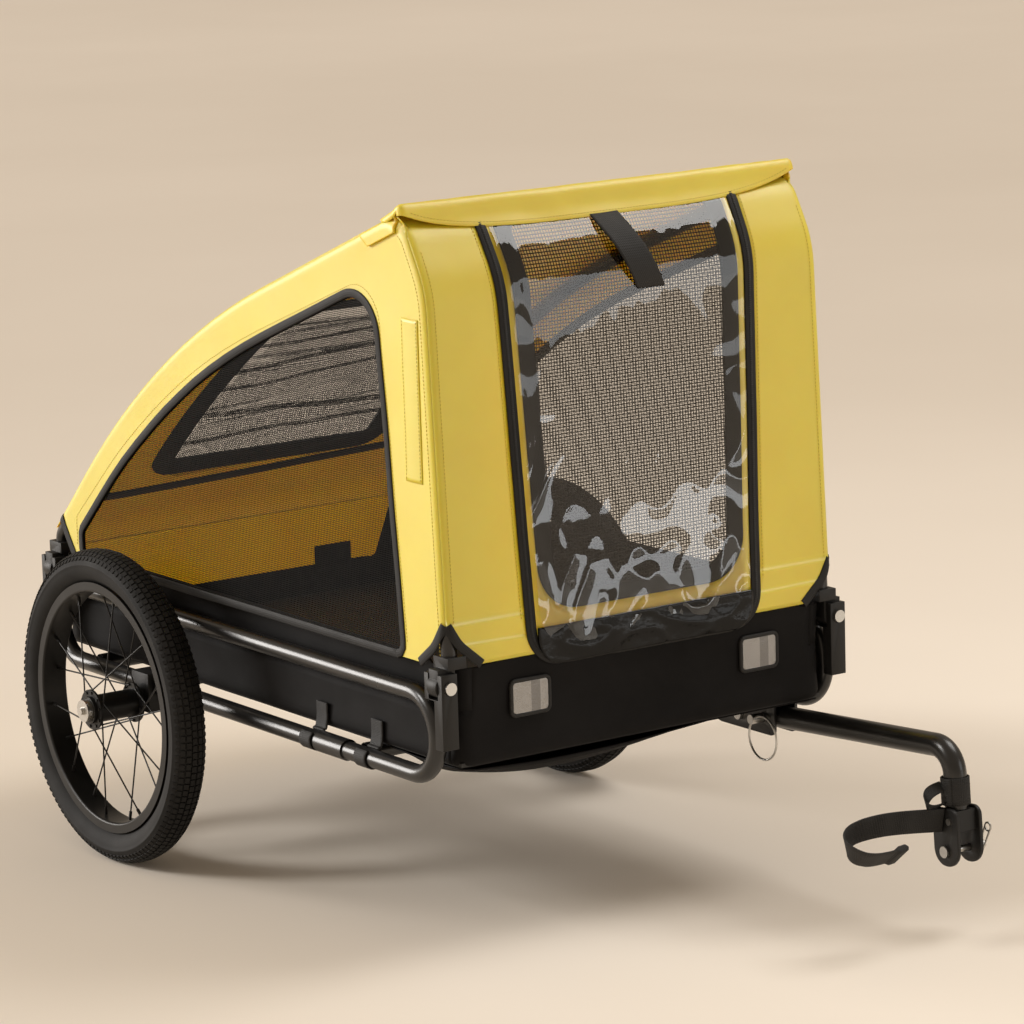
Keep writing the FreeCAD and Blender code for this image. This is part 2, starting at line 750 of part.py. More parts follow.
for side, sign in SIDES.items():
    edges = rounded(side_outline(), closed=True) + rounded(window_outline(0.0), closed=True)
    offset = PANEL_IN if sign > 0 else -PANEL_IN - S.cloth
    padded(f"{side}_side_panel", "YZ_Plane", edges, "Sizes.cloth", offset)
    edges = rounded(window_outline(S.mesh_lap), closed=True)
    offset = PANEL_IN - S.mesh if sign > 0 else -PANEL_IN
    padded(f"{side}_side_mesh", "YZ_Plane", edges, "Sizes.mesh", offset)

# Hem across the top of the door and the roof behind it
COVER_LINE = grown(SIDE_LINE, INSIDE_OFFSET + S.cloth / 2)
HEM_Y, HEM_Z, _ = COVER_LINE[2]
HEM_RADIUS = S.hem_rod_radius + S.seat_gap + S.hem_wall
HEM_HALF = PANEL_IN - S.seat_gap
hem_ends = [Vector(sign * HEM_HALF, HEM_Y, HEM_Z) for sign in (-1, 1)]
hem_rod = doc.addObject("Part::Cylinder", "hem_rod")
hem_rod.setExpression("Radius", "Sizes.hem_rod_radius")
hem_rod.Height = 2 * HEM_HALF
hem_rod.Placement = Placement(hem_ends[0], Rotation(Z_AXIS, X_AXIS))
register("hem_rod", hem_rod)
feature("top_hem", pipe(*hem_ends, HEM_RADIUS, S.hem_rod_radius + S.seat_gap))


def strip_between(outer, inner, half):
    """A sheet between two (y, z, radius) lines, as wide as twice the half."""
    profile = rounded(outer) + [
        Part.LineSegment(Vector(*outer[-1][:2], 0), Vector(*inner[-1][:2], 0)),
        *rounded(inner[::-1]),
        Part.LineSegment(Vector(*inner[0][:2], 0), Vector(*outer[0][:2], 0)),
    ]
    wire = Part.Wire(Part.__sortEdges__([edge.toShape() for edge in profile]))
    strip = Part.Face(wire).extrude(Vector(0, 0, 2 * half))
    return strip.transformed(standing(-half))


def hem_stop(line, end, neighbour):
    """Draw one end of a line back from the hem, so that the sheet butts against it."""
    away = Vector(line[neighbour][0] - line[end][0], line[neighbour][1] - line[end][1], 0)
    away = away.normalize() * (HEM_RADIUS + S.cloth)
    line[end] = (line[end][0] + away.x, line[end][1] + away.y, 0)


def roof_strip(inside, outside, half):
    """A sheet that follows the side frames from the hem down to the rear of the tub."""
    lines = []
    for offset in (outside, inside):
        line = grown(SIDE_LINE, offset)[2:]
        hem_stop(line, 0, 1)
        line[-1] = (line[-1][0], SKIRT_HEIGHT, 0)
        lines.append(line)
    return strip_between(*lines, half)


def front_strip(inside, outside):
    """A sheet that follows the side frames from the tub's front up to the hem, creased at the brow."""
    lines = []
    for offset in (outside, inside):
        foot, brow, peak = grown(SIDE_LINE, offset)[:3]
        drop = foot[1] - SKIRT_HEIGHT
        line = [(foot[0] - drop * LEG_SLOPE, SKIRT_HEIGHT, 0), (*brow[:2], 0), (*peak[:2], 0)]
        hem_stop(line, -1, -2)
        lines.append(line)
    return strip_between(*lines, HEM_HALF)


def roof_window(growth):
    """An upright block with round corners, as wide and long as the mesh window in the roof."""
    half = S.roof_window_half + growth
    front = -S.roof_window_front - growth
    rear = S.roof_window_rear + growth
    block = box((-half, half), (front, rear), (SKIRT_HEIGHT, PEAK_HEIGHT))
    upright = [edge for edge in block.Edges if abs(edge.tangentAt(edge.FirstParameter).z) > 0.9]
    return block.makeFillet(S.roof_window_corner + growth, upright)


def roof_panel():
    """The roof cloth, cut away at its window and at both rear hinges."""
    strip = roof_strip(INSIDE_OFFSET, OUTSIDE_OFFSET, HEM_HALF)
    corner_top = COLLAR_FOOT + S.collar_height + 6.0
    corner_in = SIDE_ACROSS - S.side_tube_radius - S.collar_wall - 8.0
    rear = (S.heel_rear - 40.0, S.heel_rear + 60.0)
    corners = [
        box((sign * corner_in, sign * (HEM_HALF + 1)), rear, (SKIRT_HEIGHT - 1, corner_top))
        for sign in SIDES.values()
    ]
    return strip.cut([*corners, roof_window(0.0)])


feature("roof_panel", roof_panel())
mesh_in = INSIDE_OFFSET + (S.cloth - S.mesh) / 2
mesh_strip = roof_strip(mesh_in, mesh_in + S.mesh, S.roof_window_half)
feature("roof_mesh", mesh_strip.common(roof_window(-S.seat_gap)))


def corner_tabs():
    """Cloth tabs folded over the cover's two top corners."""
    start = HEM_Y + HEM_RADIUS + 3.0
    fall = (COVER_LINE[3][1] - HEM_Z) / (COVER_LINE[3][0] - HEM_Y)
    top = HEM_Z + fall * S.tab_depth - HEM_RADIUS
    outer = PANEL_IN + S.cloth + S.seat_gap
    tabs = []
    for sign in SIDES.values():
        across = (sign * outer, sign * (outer + S.tab_thickness))
        tabs.append(box(across, (start, start + S.tab_depth), (top - S.tab_drop, top)))
    return Part.makeCompound(tabs)


feature("corner_tabs", corner_tabs())

# Flag sleeve: a flat stitched strip on the right side panel, behind its front edge
sleeve_top = PEAK_HEIGHT - S.flag_sleeve_drop
sleeve_y = -(S.foot_front + OUTSIDE_OFFSET) + (sleeve_top - FOOT_HEIGHT) * LEG_SLOPE + 18.0
sleeve_x = -(PANEL_IN + S.cloth + S.seat_gap)
feature("flag_sleeve", box(
    (sleeve_x - 1.2, sleeve_x),
    (sleeve_y, sleeve_y + S.flag_sleeve_width),
    (sleeve_top - S.flag_sleeve_length, sleeve_top),
))

# Front: a cloth panel round the door, zips, and the door with its mesh, clear window and roll-up strap
FRONT_TOP = HEM_Z
DOOR_FOOT = SKIRT_HEIGHT + 2.0
DOOR_TOP = HEM_Z - HEM_RADIUS - 8.0
ZIP_GAP = 0.5


def front_cut(edges):
    """A block with a front view's outline, deep enough to cut any sheet of the front."""
    wires = [Part.Wire([edge.toShape() for edge in loop]) for loop in edges]
    face = Part.Face(wires[0])
    for wire in wires[1:]:
        face = face.cut(Part.Face(wire))
    block = face.extrude(Z_AXIS * S.front_depth)
    block.Placement = Placement(Vector(0, HEM_Y + S.front_depth / 4, 0), Rotation(X_AXIS, 90))
    return block


def edge_half(height, grow):
    """The door's half width at a height above the floor, grown outward."""
    share = (height - DOOR_FOOT) / (DOOR_TOP - DOOR_FOOT)
    return S.door_half_foot + (S.door_half_top - S.door_half_foot) * share + grow


def front_panel_outline():
    inside = S.zip_width + 2 * ZIP_GAP
    skirt = SKIRT_HEIGHT
    notch = HEM_HALF - 44.0
    return rounded([
        (-edge_half(skirt, inside), skirt, 0),
        (-notch, skirt, 0),
        (-HEM_HALF, skirt + CUT_OUT, 0),
        (-HEM_HALF, FRONT_TOP, 0),
        (HEM_HALF, FRONT_TOP, 0),
        (HEM_HALF, skirt + CUT_OUT, 0),
        (notch, skirt, 0),
        (edge_half(skirt, inside), skirt, 0),
        (edge_half(DOOR_TOP, inside), DOOR_TOP + 1.0, 0),
        (-edge_half(DOOR_TOP, inside), DOOR_TOP + 1.0, 0),
    ], closed=True)


def door_outline(inset, foot, corner):
    low = SKIRT_HEIGHT + foot
    top = DOOR_TOP - inset
    return rounded([
        (-edge_half(low, -inset), low, corner),
        (edge_half(low, -inset), low, corner),
        (edge_half(top, -inset), top, corner / 3),
        (-edge_half(top, -inset), top, corner / 3),
    ], closed=True)


cloth_strip = front_strip(INSIDE_OFFSET, OUTSIDE_OFFSET)
feature("front_panel", cloth_strip.common(front_cut([front_panel_outline()])))
opening = door_outline(S.door_border, S.door_foot_border, 45.0)
feature("door_panel", cloth_strip.common(front_cut([door_outline(0.0, 2.0, 3.0), opening])))
mesh_edges = door_outline(S.door_border - S.mesh_lap, S.door_foot_border - S.mesh_lap, 50.0)
mesh_out = INSIDE_OFFSET - S.seat_gap
feature("door_mesh", front_strip(mesh_out - S.mesh, mesh_out).common(front_cut([mesh_edges])))
film_in = OUTSIDE_OFFSET + S.seat_gap
film_edges = door_outline(7.0, 24.0, 60.0)
feature("door_window", front_strip(film_in, film_in + S.vinyl).common(front_cut([film_edges])))

zip_strip = front_strip(INSIDE_OFFSET, INSIDE_OFFSET + S.zip_thickness)
zips = []
for sign in SIDES.values():
    outline = [
        (sign * edge_half(DOOR_FOOT, ZIP_GAP), DOOR_FOOT, 0),
        (sign * edge_half(DOOR_FOOT, ZIP_GAP + S.zip_width), DOOR_FOOT, 0),
        (sign * edge_half(DOOR_TOP, ZIP_GAP + S.zip_width), DOOR_TOP, 0),
        (sign * edge_half(DOOR_TOP, ZIP_GAP), DOOR_TOP, 0),
    ]
    zips.append(zip_strip.common(front_cut([rounded(outline, closed=True)])))
feature("door_zips", Part.makeCompound(zips))

strap_in = film_in + S.vinyl + S.seat_gap
strap_half = S.roll_strap_width / 2
strap_line = [
    (-strap_half, DOOR_TOP - S.roll_strap_length, 0),
    (strap_half, DOOR_TOP - S.roll_strap_length, 0),
    (strap_half, DOOR_TOP, 0),
    (-strap_half, DOOR_TOP, 0),
]
strap_sheet = front_strip(strap_in, strap_in + S.roll_strap_thickness)
feature("roll_strap", strap_sheet.common(front_cut([rounded(strap_line, closed=True)])))

# Tub: a cloth box between the loops, with a stiff floor, webbing tabs on the rails and two reflectors
FLOOR_UNDER = LOWER_RAIL + S.rail_radius + S.seat_gap
TUB_FRONT = -(S.foot_front + INSIDE_OFFSET)
TUB_REAR = S.heel_rear + INSIDE_OFFSET - S.seat_gap


def tub_shell():
    half = S.tub_half_width
    wall = S.tub_wall
    outside = box((-half, half), (TUB_FRONT, TUB_REAR), (FLOOR_UNDER, TUB_RIM))
    inside = box(
        (wall - half, half - wall),
        (TUB_FRONT + wall, TUB_REAR - wall),
        (FLOOR_UNDER + wall, TUB_RIM + 1.0),
    )
    apron = box((-half, half), (TUB_FRONT, TUB_FRONT + wall), (S.tub_apron, TUB_RIM))
    return outside.cut(inside).fuse(apron).removeSplitter()


feature("tub", tub_shell())
board = S.tub_half_width - S.tub_wall - 2.0
feature("floor_board", box(
    (-board, board),
    (TUB_FRONT + S.tub_wall + 2.0, TUB_REAR - S.tub_wall - 2.0),
    (FLOOR_UNDER + S.tub_wall, FLOOR_UNDER + S.tub_wall + S.floor_thickness),
))

reflectors = []
for sign in SIDES.values():
    middle = sign * S.reflector_spread
    patch = box(
        (middle - S.reflector_width / 2, middle + S.reflector_width / 2),
        (TUB_FRONT - S.reflector_thickness, TUB_FRONT),
        (S.reflector_height - S.reflector_tall / 2, S.reflector_height + S.reflector_tall / 2),
    )
    upright = [edge for edge in patch.Edges if abs(edge.tangentAt(edge.FirstParameter).y) > 0.9]
    reflectors.append(patch.makeFillet(6.0, upright))
feature("reflectors", Part.makeCompound(reflectors))

tabs = []
tab_places = (
    -S.splice_front + S.splice_length / 2 + S.tab_width,
    -S.splice_front - S.splice_length / 2 - 2 * S.tab_width,
)
for sign in SIDES.values():
    for place in tab_places:
        middle = Vector(sign * S.rail_spread, place, LOWER_RAIL)
        half = Y_AXIS * S.tab_width / 2
        bore = S.rail_radius + S.seat_gap
        loop = pipe(middle - half, middle + half, bore + 2.0, bore)
        hook_x = (sign * (S.tub_half_width + S.seat_gap), sign * (S.rail_spread - bore - 0.5))
        hook_y = (place - S.tab_width / 2, place + S.tab_width / 2)
        hook = box(hook_x, hook_y, (LOWER_RAIL, FLOOR_UNDER + S.tab_width))
        clear = rod(middle - half * 2, middle + half * 2, bore)
        tabs.append(loop.fuse(hook.cut(clear)).removeSplitter())
feature("rail_tabs", Part.makeCompound(tabs))

# Tow receiver: two plates and a web, hung on the front cross tube
CHANNEL_HALF = S.tow_radius + S.seat_gap
CHANNEL_OUT = CHANNEL_HALF + S.channel_wall
PIN_FRONT = S.tow_pivot_front + S.lock_pin_lead
PIN_HEIGHT = S.tow_pivot_height + S.lock_pin_lead * tan(radians(S.tow_rise))


def x_rod(start, end, front, height, radius):
    """A round bar along X at the tow bar's side, from start to end beside its middle."""
    first = Vector(S.tow_side + start, -front, height)
    return rod(first, first + X_AXIS * (end - start), radius)


def tow_receiver():
    tail = S.front_tube_front - S.rail_radius - 10.0
    tail_top = LOWER_RAIL + S.rail_radius - 1.0
    plate_line = [
        (-S.channel_front, S.channel_floor, 8.0),
        (-S.channel_front, S.channel_roof, 0),
        (-(S.front_tube_front + 30.0), S.channel_roof, 0),
        (-(S.front_tube_front + 16.0), tail_top, 0),
        (-tail, tail_top, 4.0),
        (-tail, LOWER_RAIL - 16.0, 4.0),
        (-(S.tow_pivot_front - 40.0), S.channel_floor, 20.0),
    ]
    wire = Part.Wire([edge.toShape() for edge in rounded(plate_line, closed=True)])
    plate = Part.Face(wire).extrude(Vector(0, 0, S.channel_wall))
    plates = []
    for start in (CHANNEL_HALF, -CHANNEL_OUT):
        plates.append(plate.transformed(standing(S.tow_side + start)))
    web_y = (-S.channel_front, -(S.front_tube_front + 30.0))
    web_x = (S.tow_side - CHANNEL_OUT, S.tow_side + CHANNEL_OUT)
    web = box(web_x, web_y, (S.channel_roof, S.channel_roof + 3.0))
    reach = CHANNEL_OUT + 5.0
    holes = [
        x_rod(-reach, reach, S.front_tube_front, LOWER_RAIL, S.rail_radius + S.press_gap),
        x_rod(-reach, reach, S.tow_pivot_front, S.tow_pivot_height, S.tow_pivot_radius + S.press_gap),
        x_rod(-reach, reach, PIN_FRONT, PIN_HEIGHT, S.lock_pin_radius + S.running_gap),
    ]
    return plates[0].fuse([plates[1], web]).cut(holes).removeSplitter()


feature("tow_receiver", tow_receiver())

bolt_reach = CHANNEL_OUT + S.seat_gap
pivot = (S.tow_pivot_front, S.tow_pivot_height)
feature("tow_pivot_bolt", x_rod(-bolt_reach, bolt_reach + 5.0, *pivot, S.tow_pivot_radius).fuse([
    x_rod(-bolt_reach - 4.0, -bolt_reach, *pivot, 7.0),
    x_rod(bolt_reach, bolt_reach + 5.0, *pivot, 6.5),
]))

# Tow bar: drawn level from its pivot, with the leg straight down, and then raised by its own angle
TOW = Placement(
    Vector(S.tow_side, -S.tow_pivot_front, S.tow_pivot_height),
    Rotation(X_AXIS, -S.tow_rise),
)


def tow_tube(outer):
    route = rounded([
        (S.tow_tail, 0, 0),
        (-S.tow_length, 0, S.tow_bend),
        (-S.tow_length, -S.tow_drop, 0),
    ])
    flat = Part.Wire([edge.toShape() for edge in route])
    path = Part.Wire(flat.transformed(standing(0.0)).Edges)
    ring = Part.Wire(Part.makeCircle(outer, Vector(0, S.tow_tail, 0), Y_AXIS))
    return path.makePipeShell([ring], True, False)


def tow_bar():
    tube = tow_tube(S.tow_radius).cut(tow_tube(S.tow_radius - S.tow_wall))
    wide = S.tow_radius + 1.0
    pivot_hole = rod(X_AXIS * -wide, X_AXIS * wide, S.tow_pivot_radius + S.running_gap)
    pin_y = -S.lock_pin_lead / cos(radians(S.tow_rise))
    half = S.lock_pin_radius + S.seat_gap
    swing = S.lock_pin_lead - sqrt(S.lock_pin_lead ** 2 - S.tow_radius ** 2)
    slot = box((-wide, wide), (pin_y - half, pin_y + half + swing + 0.6), (0, wide + 4.0))
    end_hole = rod(Vector(-wide, pin_y, 0), Vector(wide, pin_y, 0), half)
    return tube.cut([pivot_hole, slot, end_hole])


feature("tow_bar", tow_bar()).Placement = TOW

# Lock pin and its wire bail
pin_start = -CHANNEL_OUT - S.seat_gap
head_length = 18.0
HEAD_RADIUS = 6.0
BAIL_BAR = HEAD_RADIUS + 2.5
bail_x = pin_start - head_length + 6.0
bail_drop = 21.0
bail_lead = sqrt(S.bail_radius ** 2 - bail_drop ** 2)
bail_middle = Vector(S.tow_side + bail_x, -(PIN_FRONT + bail_lead), PIN_HEIGHT - bail_drop)
pin_line = (PIN_FRONT, PIN_HEIGHT)
lock_pin = x_rod(pin_start - head_length, CHANNEL_OUT + 8.0, *pin_line, S.lock_pin_radius)
lock_head = x_rod(pin_start - head_length, pin_start, *pin_line, HEAD_RADIUS)
bail_eye = Vector(S.tow_side + bail_x, -PIN_FRONT, PIN_HEIGHT)
bail_way = Vector(0, -bail_drop, bail_lead).normalize()
bail_bar = rod(bail_eye - bail_way * BAIL_BAR, bail_eye + bail_way * BAIL_BAR, S.bail_wire)
bail_hole = rod(
    bail_eye - bail_way * BAIL_BAR,
    bail_eye + bail_way * BAIL_BAR,
    S.bail_wire + S.running_gap,
)
feature("lock_pin", lock_pin.fuse(lock_head).cut(bail_hole))
head_room = x_rod(pin_start - head_length, pin_start, *pin_line, HEAD_RADIUS + 1.0)
bail_ring = Part.makeTorus(S.bail_radius, S.bail_wire, bail_middle, X_AXIS).cut(head_room)
feature("lock_bail", bail_ring.fuse(bail_bar))

# Coupler at the foot of the leg: a stem in the tube, two plates, the hitch pin and its clip
LEG_Y = -S.tow_length
LEG_FOOT = -S.tow_drop
BLOCK_HALF = CHANNEL_HALF + 0.5
PLATE_OUT = BLOCK_HALF + S.coupler_plate
BLOCK_FOOT = LEG_FOOT - S.seat_gap - 25.0
PIN_Z = LEG_FOOT - S.hitch_pin_drop


def leg_rod(top, foot, radius):
    return rod(Vector(0, LEG_Y, foot), Vector(0, LEG_Y, top), radius)


stem = leg_rod(LEG_FOOT + 32.0, LEG_FOOT - S.seat_gap, S.tow_radius - S.tow_wall - S.press_gap)
stem_block = box(
    (-BLOCK_HALF, BLOCK_HALF),
    (LEG_Y - 16.0, LEG_Y + 16.0),
    (BLOCK_FOOT, LEG_FOOT - S.seat_gap),
)
feature("coupler_stem", stem.fuse(stem_block).removeSplitter()).Placement = TOW

plates = []
for start in (BLOCK_HALF, -PLATE_OUT):
    corner = S.coupler_width / 2 - 1.0
    line = [
        (LEG_Y - S.coupler_width / 2, LEG_FOOT + S.coupler_rise, 12.0),
        (LEG_Y + S.coupler_width / 2, LEG_FOOT + S.coupler_rise, 12.0),
        (LEG_Y + S.coupler_width / 2, LEG_FOOT - S.coupler_fall, corner),
        (LEG_Y - S.coupler_width / 2, LEG_FOOT - S.coupler_fall, corner),
    ]
    wire = Part.Wire([edge.toShape() for edge in rounded(line, closed=True)])
    plate = Part.Face(wire).extrude(Vector(0, 0, S.coupler_plate))
    pin_hole = rod(
        Vector(start - 1, LEG_Y, PIN_Z),
        Vector(start + S.coupler_plate + 1, LEG_Y, PIN_Z),
        S.hitch_pin_radius + S.running_gap,
    )
    plates.append(plate.transformed(standing(start)).cut(pin_hole))
feature("coupler_plates", Part.makeCompound(plates)).Placement = TOW

rivets = []
for sign in SIDES.values():
    for place in (-9.0, 9.0):
        start = Vector(sign * PLATE_OUT, LEG_Y + place, LEG_FOOT - 12.0)
        rivets.append(rod(start, start + X_AXIS * sign * 2.5, 4.0))
feature("coupler_rivets", Part.makeCompound(rivets)).Placement = TOW

pin_foot = Vector(-PLATE_OUT - S.seat_gap, LEG_Y, PIN_Z)
pin_tip = Vector(PLATE_OUT + 19.0, LEG_Y, PIN_Z)
CLIP_X = PLATE_OUT + 12.0


def clip_spot(forward, up):
    """A place on the clip, which leans forward about the hitch pin."""
    lean = Rotation(X_AXIS, S.clip_lean)
    return Vector(CLIP_X, LEG_Y, PIN_Z) + lean.multVec(Vector(0, -forward, up))


clip_hole = rod(clip_spot(0, -9), clip_spot(0, 9), 1.5)
hitch_pin = rod(pin_foot, pin_tip, S.hitch_pin_radius)
hitch_head = rod(pin_foot - X_AXIS * 4.0, pin_foot, 7.0)
feature("hitch_pin", hitch_pin.fuse(hitch_head).cut(clip_hole)).Placement = TOW


def hairpin():
    """A wire clip: one leg through the pin, the other bowed round it, joined by an eye."""
    wire = 1.2
    inner_leg = rod(clip_spot(0, -12), clip_spot(0, 28), wire)
    eye = Part.makeTorus(5.0, wire, clip_spot(5.0, 28), X_AXIS)
    outer_leg = rod(clip_spot(9.5, 26), clip_spot(6.2, -14), wire)
    return inner_leg.fuse([eye, outer_leg])


feature("hairpin_clip", hairpin()).Placement = TOW

# Safety strap: webbing wrapped round the leg, and a free tail that curls back to a sewn end
WRAP_OUT = S.tow_radius + S.seat_gap + 3.0
WRAP_TOP = -S.tow_bend - 2.0
WRAP_FOOT = LEG_FOOT + 5.0
wrap_bore = leg_rod(WRAP_TOP + 1.0, WRAP_FOOT - 1.0, S.tow_radius + S.seat_gap)
wrap = leg_rod(WRAP_TOP, WRAP_FOOT, WRAP_OUT).cut(wrap_bore)
feature("strap_wrap", wrap).Placement = TOW

STRAP_MIDDLE = -84.0
STRAP_TILT = 16.0
STRAP_ROUTE = [
    (-PLATE_OUT - 0.6, 2.0),
    (-58.0, 14.0),
    (-102.0, 22.0),
    (-144.0, 22.0),
    (-167.0, 3.0),
    (-156.0, -16.0),
    (-128.0, -20.0),
    (-92.0, -13.0),
]


def cord_corners(route):
    """Give each inner point of a route the largest arc that its two runs allow."""
    corners = [(*route[0], 0)]
    for before, here, after in zip(route, route[1:], route[2:]):
        back = Vector(before[0] - here[0], before[1] - here[1], 0)
        ahead = Vector(after[0] - here[0], after[1] - here[1], 0)
        turn = pi - back.getAngle(ahead)
        radius = 0.45 * min(back.Length, ahead.Length) / tan(turn / 2)
        corners.append((*here, radius))
    corners.append((*route[-1], 0))
    return corners


def safety_strap():
    centre = cord_corners(STRAP_ROUTE)
    half = S.strap_thickness / 2
    path = Part.Wire([edge.toShape() for edge in rounded(centre)])
    start = path.OrderedEdges[0]
    tangent = start.tangentAt(start.FirstParameter)
    across = Vector(-tangent.y, tangent.x, 0)
    origin = Vector(*STRAP_ROUTE[0], 0)
    corners = [
        origin + across * half - Z_AXIS * S.strap_width / 2,
        origin - across * half - Z_AXIS * S.strap_width / 2,
        origin - across * half + Z_AXIS * S.strap_width / 2,
        origin + across * half + Z_AXIS * S.strap_width / 2,
    ]
    section = Part.makePolygon([*corners, corners[0]])
    return path.makePipeShell([section], True, False)


strap_spot = Placement(Vector(0, LEG_Y, STRAP_MIDDLE), Rotation(X_AXIS, STRAP_TILT))
feature("safety_strap", safety_strap()).Placement = TOW * strap_spot

# Move everything so that the origin is under the middle of the outer box
doc.recompute()
PLATE_CORNER = S.coupler_width / 2 - 1.0
PLATE_TURN = S.tow_drop + S.coupler_fall - PLATE_CORNER
FRONT_REACH = S.tow_pivot_front + PLATE_CORNER
FRONT_REACH += (S.tow_length + S.coupler_width / 2 - PLATE_CORNER) * cos(radians(S.tow_rise))
FRONT_REACH += PLATE_TURN * sin(radians(S.tow_rise))
REAR_REACH = S.loop_rear + S.rail_radius + CHEEK_OUT + S.seat_gap + 4.0
SHIFT = Placement(Vector(0, (FRONT_REACH - REAR_REACH) / 2, 0), Rotation())
for piece in nodes.values():
    piece.Placement = SHIFT * piece.Placement
doc.recompute()

faults = []
for piece in doc.Objects:
    if "Invalid" in piece.State or "Error" in piece.State:
        faults.append(f"{piece.Name}: {piece.State}")
for label, piece in nodes.items():
    if piece.Shape.isNull() or not piece.Shape.isValid() or not piece.Shape.Solids:
        faults.append(f"{label}: shape not usable")
if faults:
    raise RuntimeError("; ".join(faults))

os.makedirs("parts", exist_ok=True)
for label, piece in nodes.items():
    piece.Shape.exportStep(f"parts/{label}.step")
print(f"axle at Y {SHIFT.Base.y:.3f}, hem at {HEM_Y:.3f}, {HEM_Z:.3f}, {len(nodes)} sub-parts")
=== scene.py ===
# %% [markdown]
# # A dog bike trailer, dressed
# The exact model gives the frame: tubes, wheels, hinges and joints, all in metres. This lesson keeps the
# rigid pieces, gives them real finishes, and makes the cloth, the rubber and the webbing as what they are.

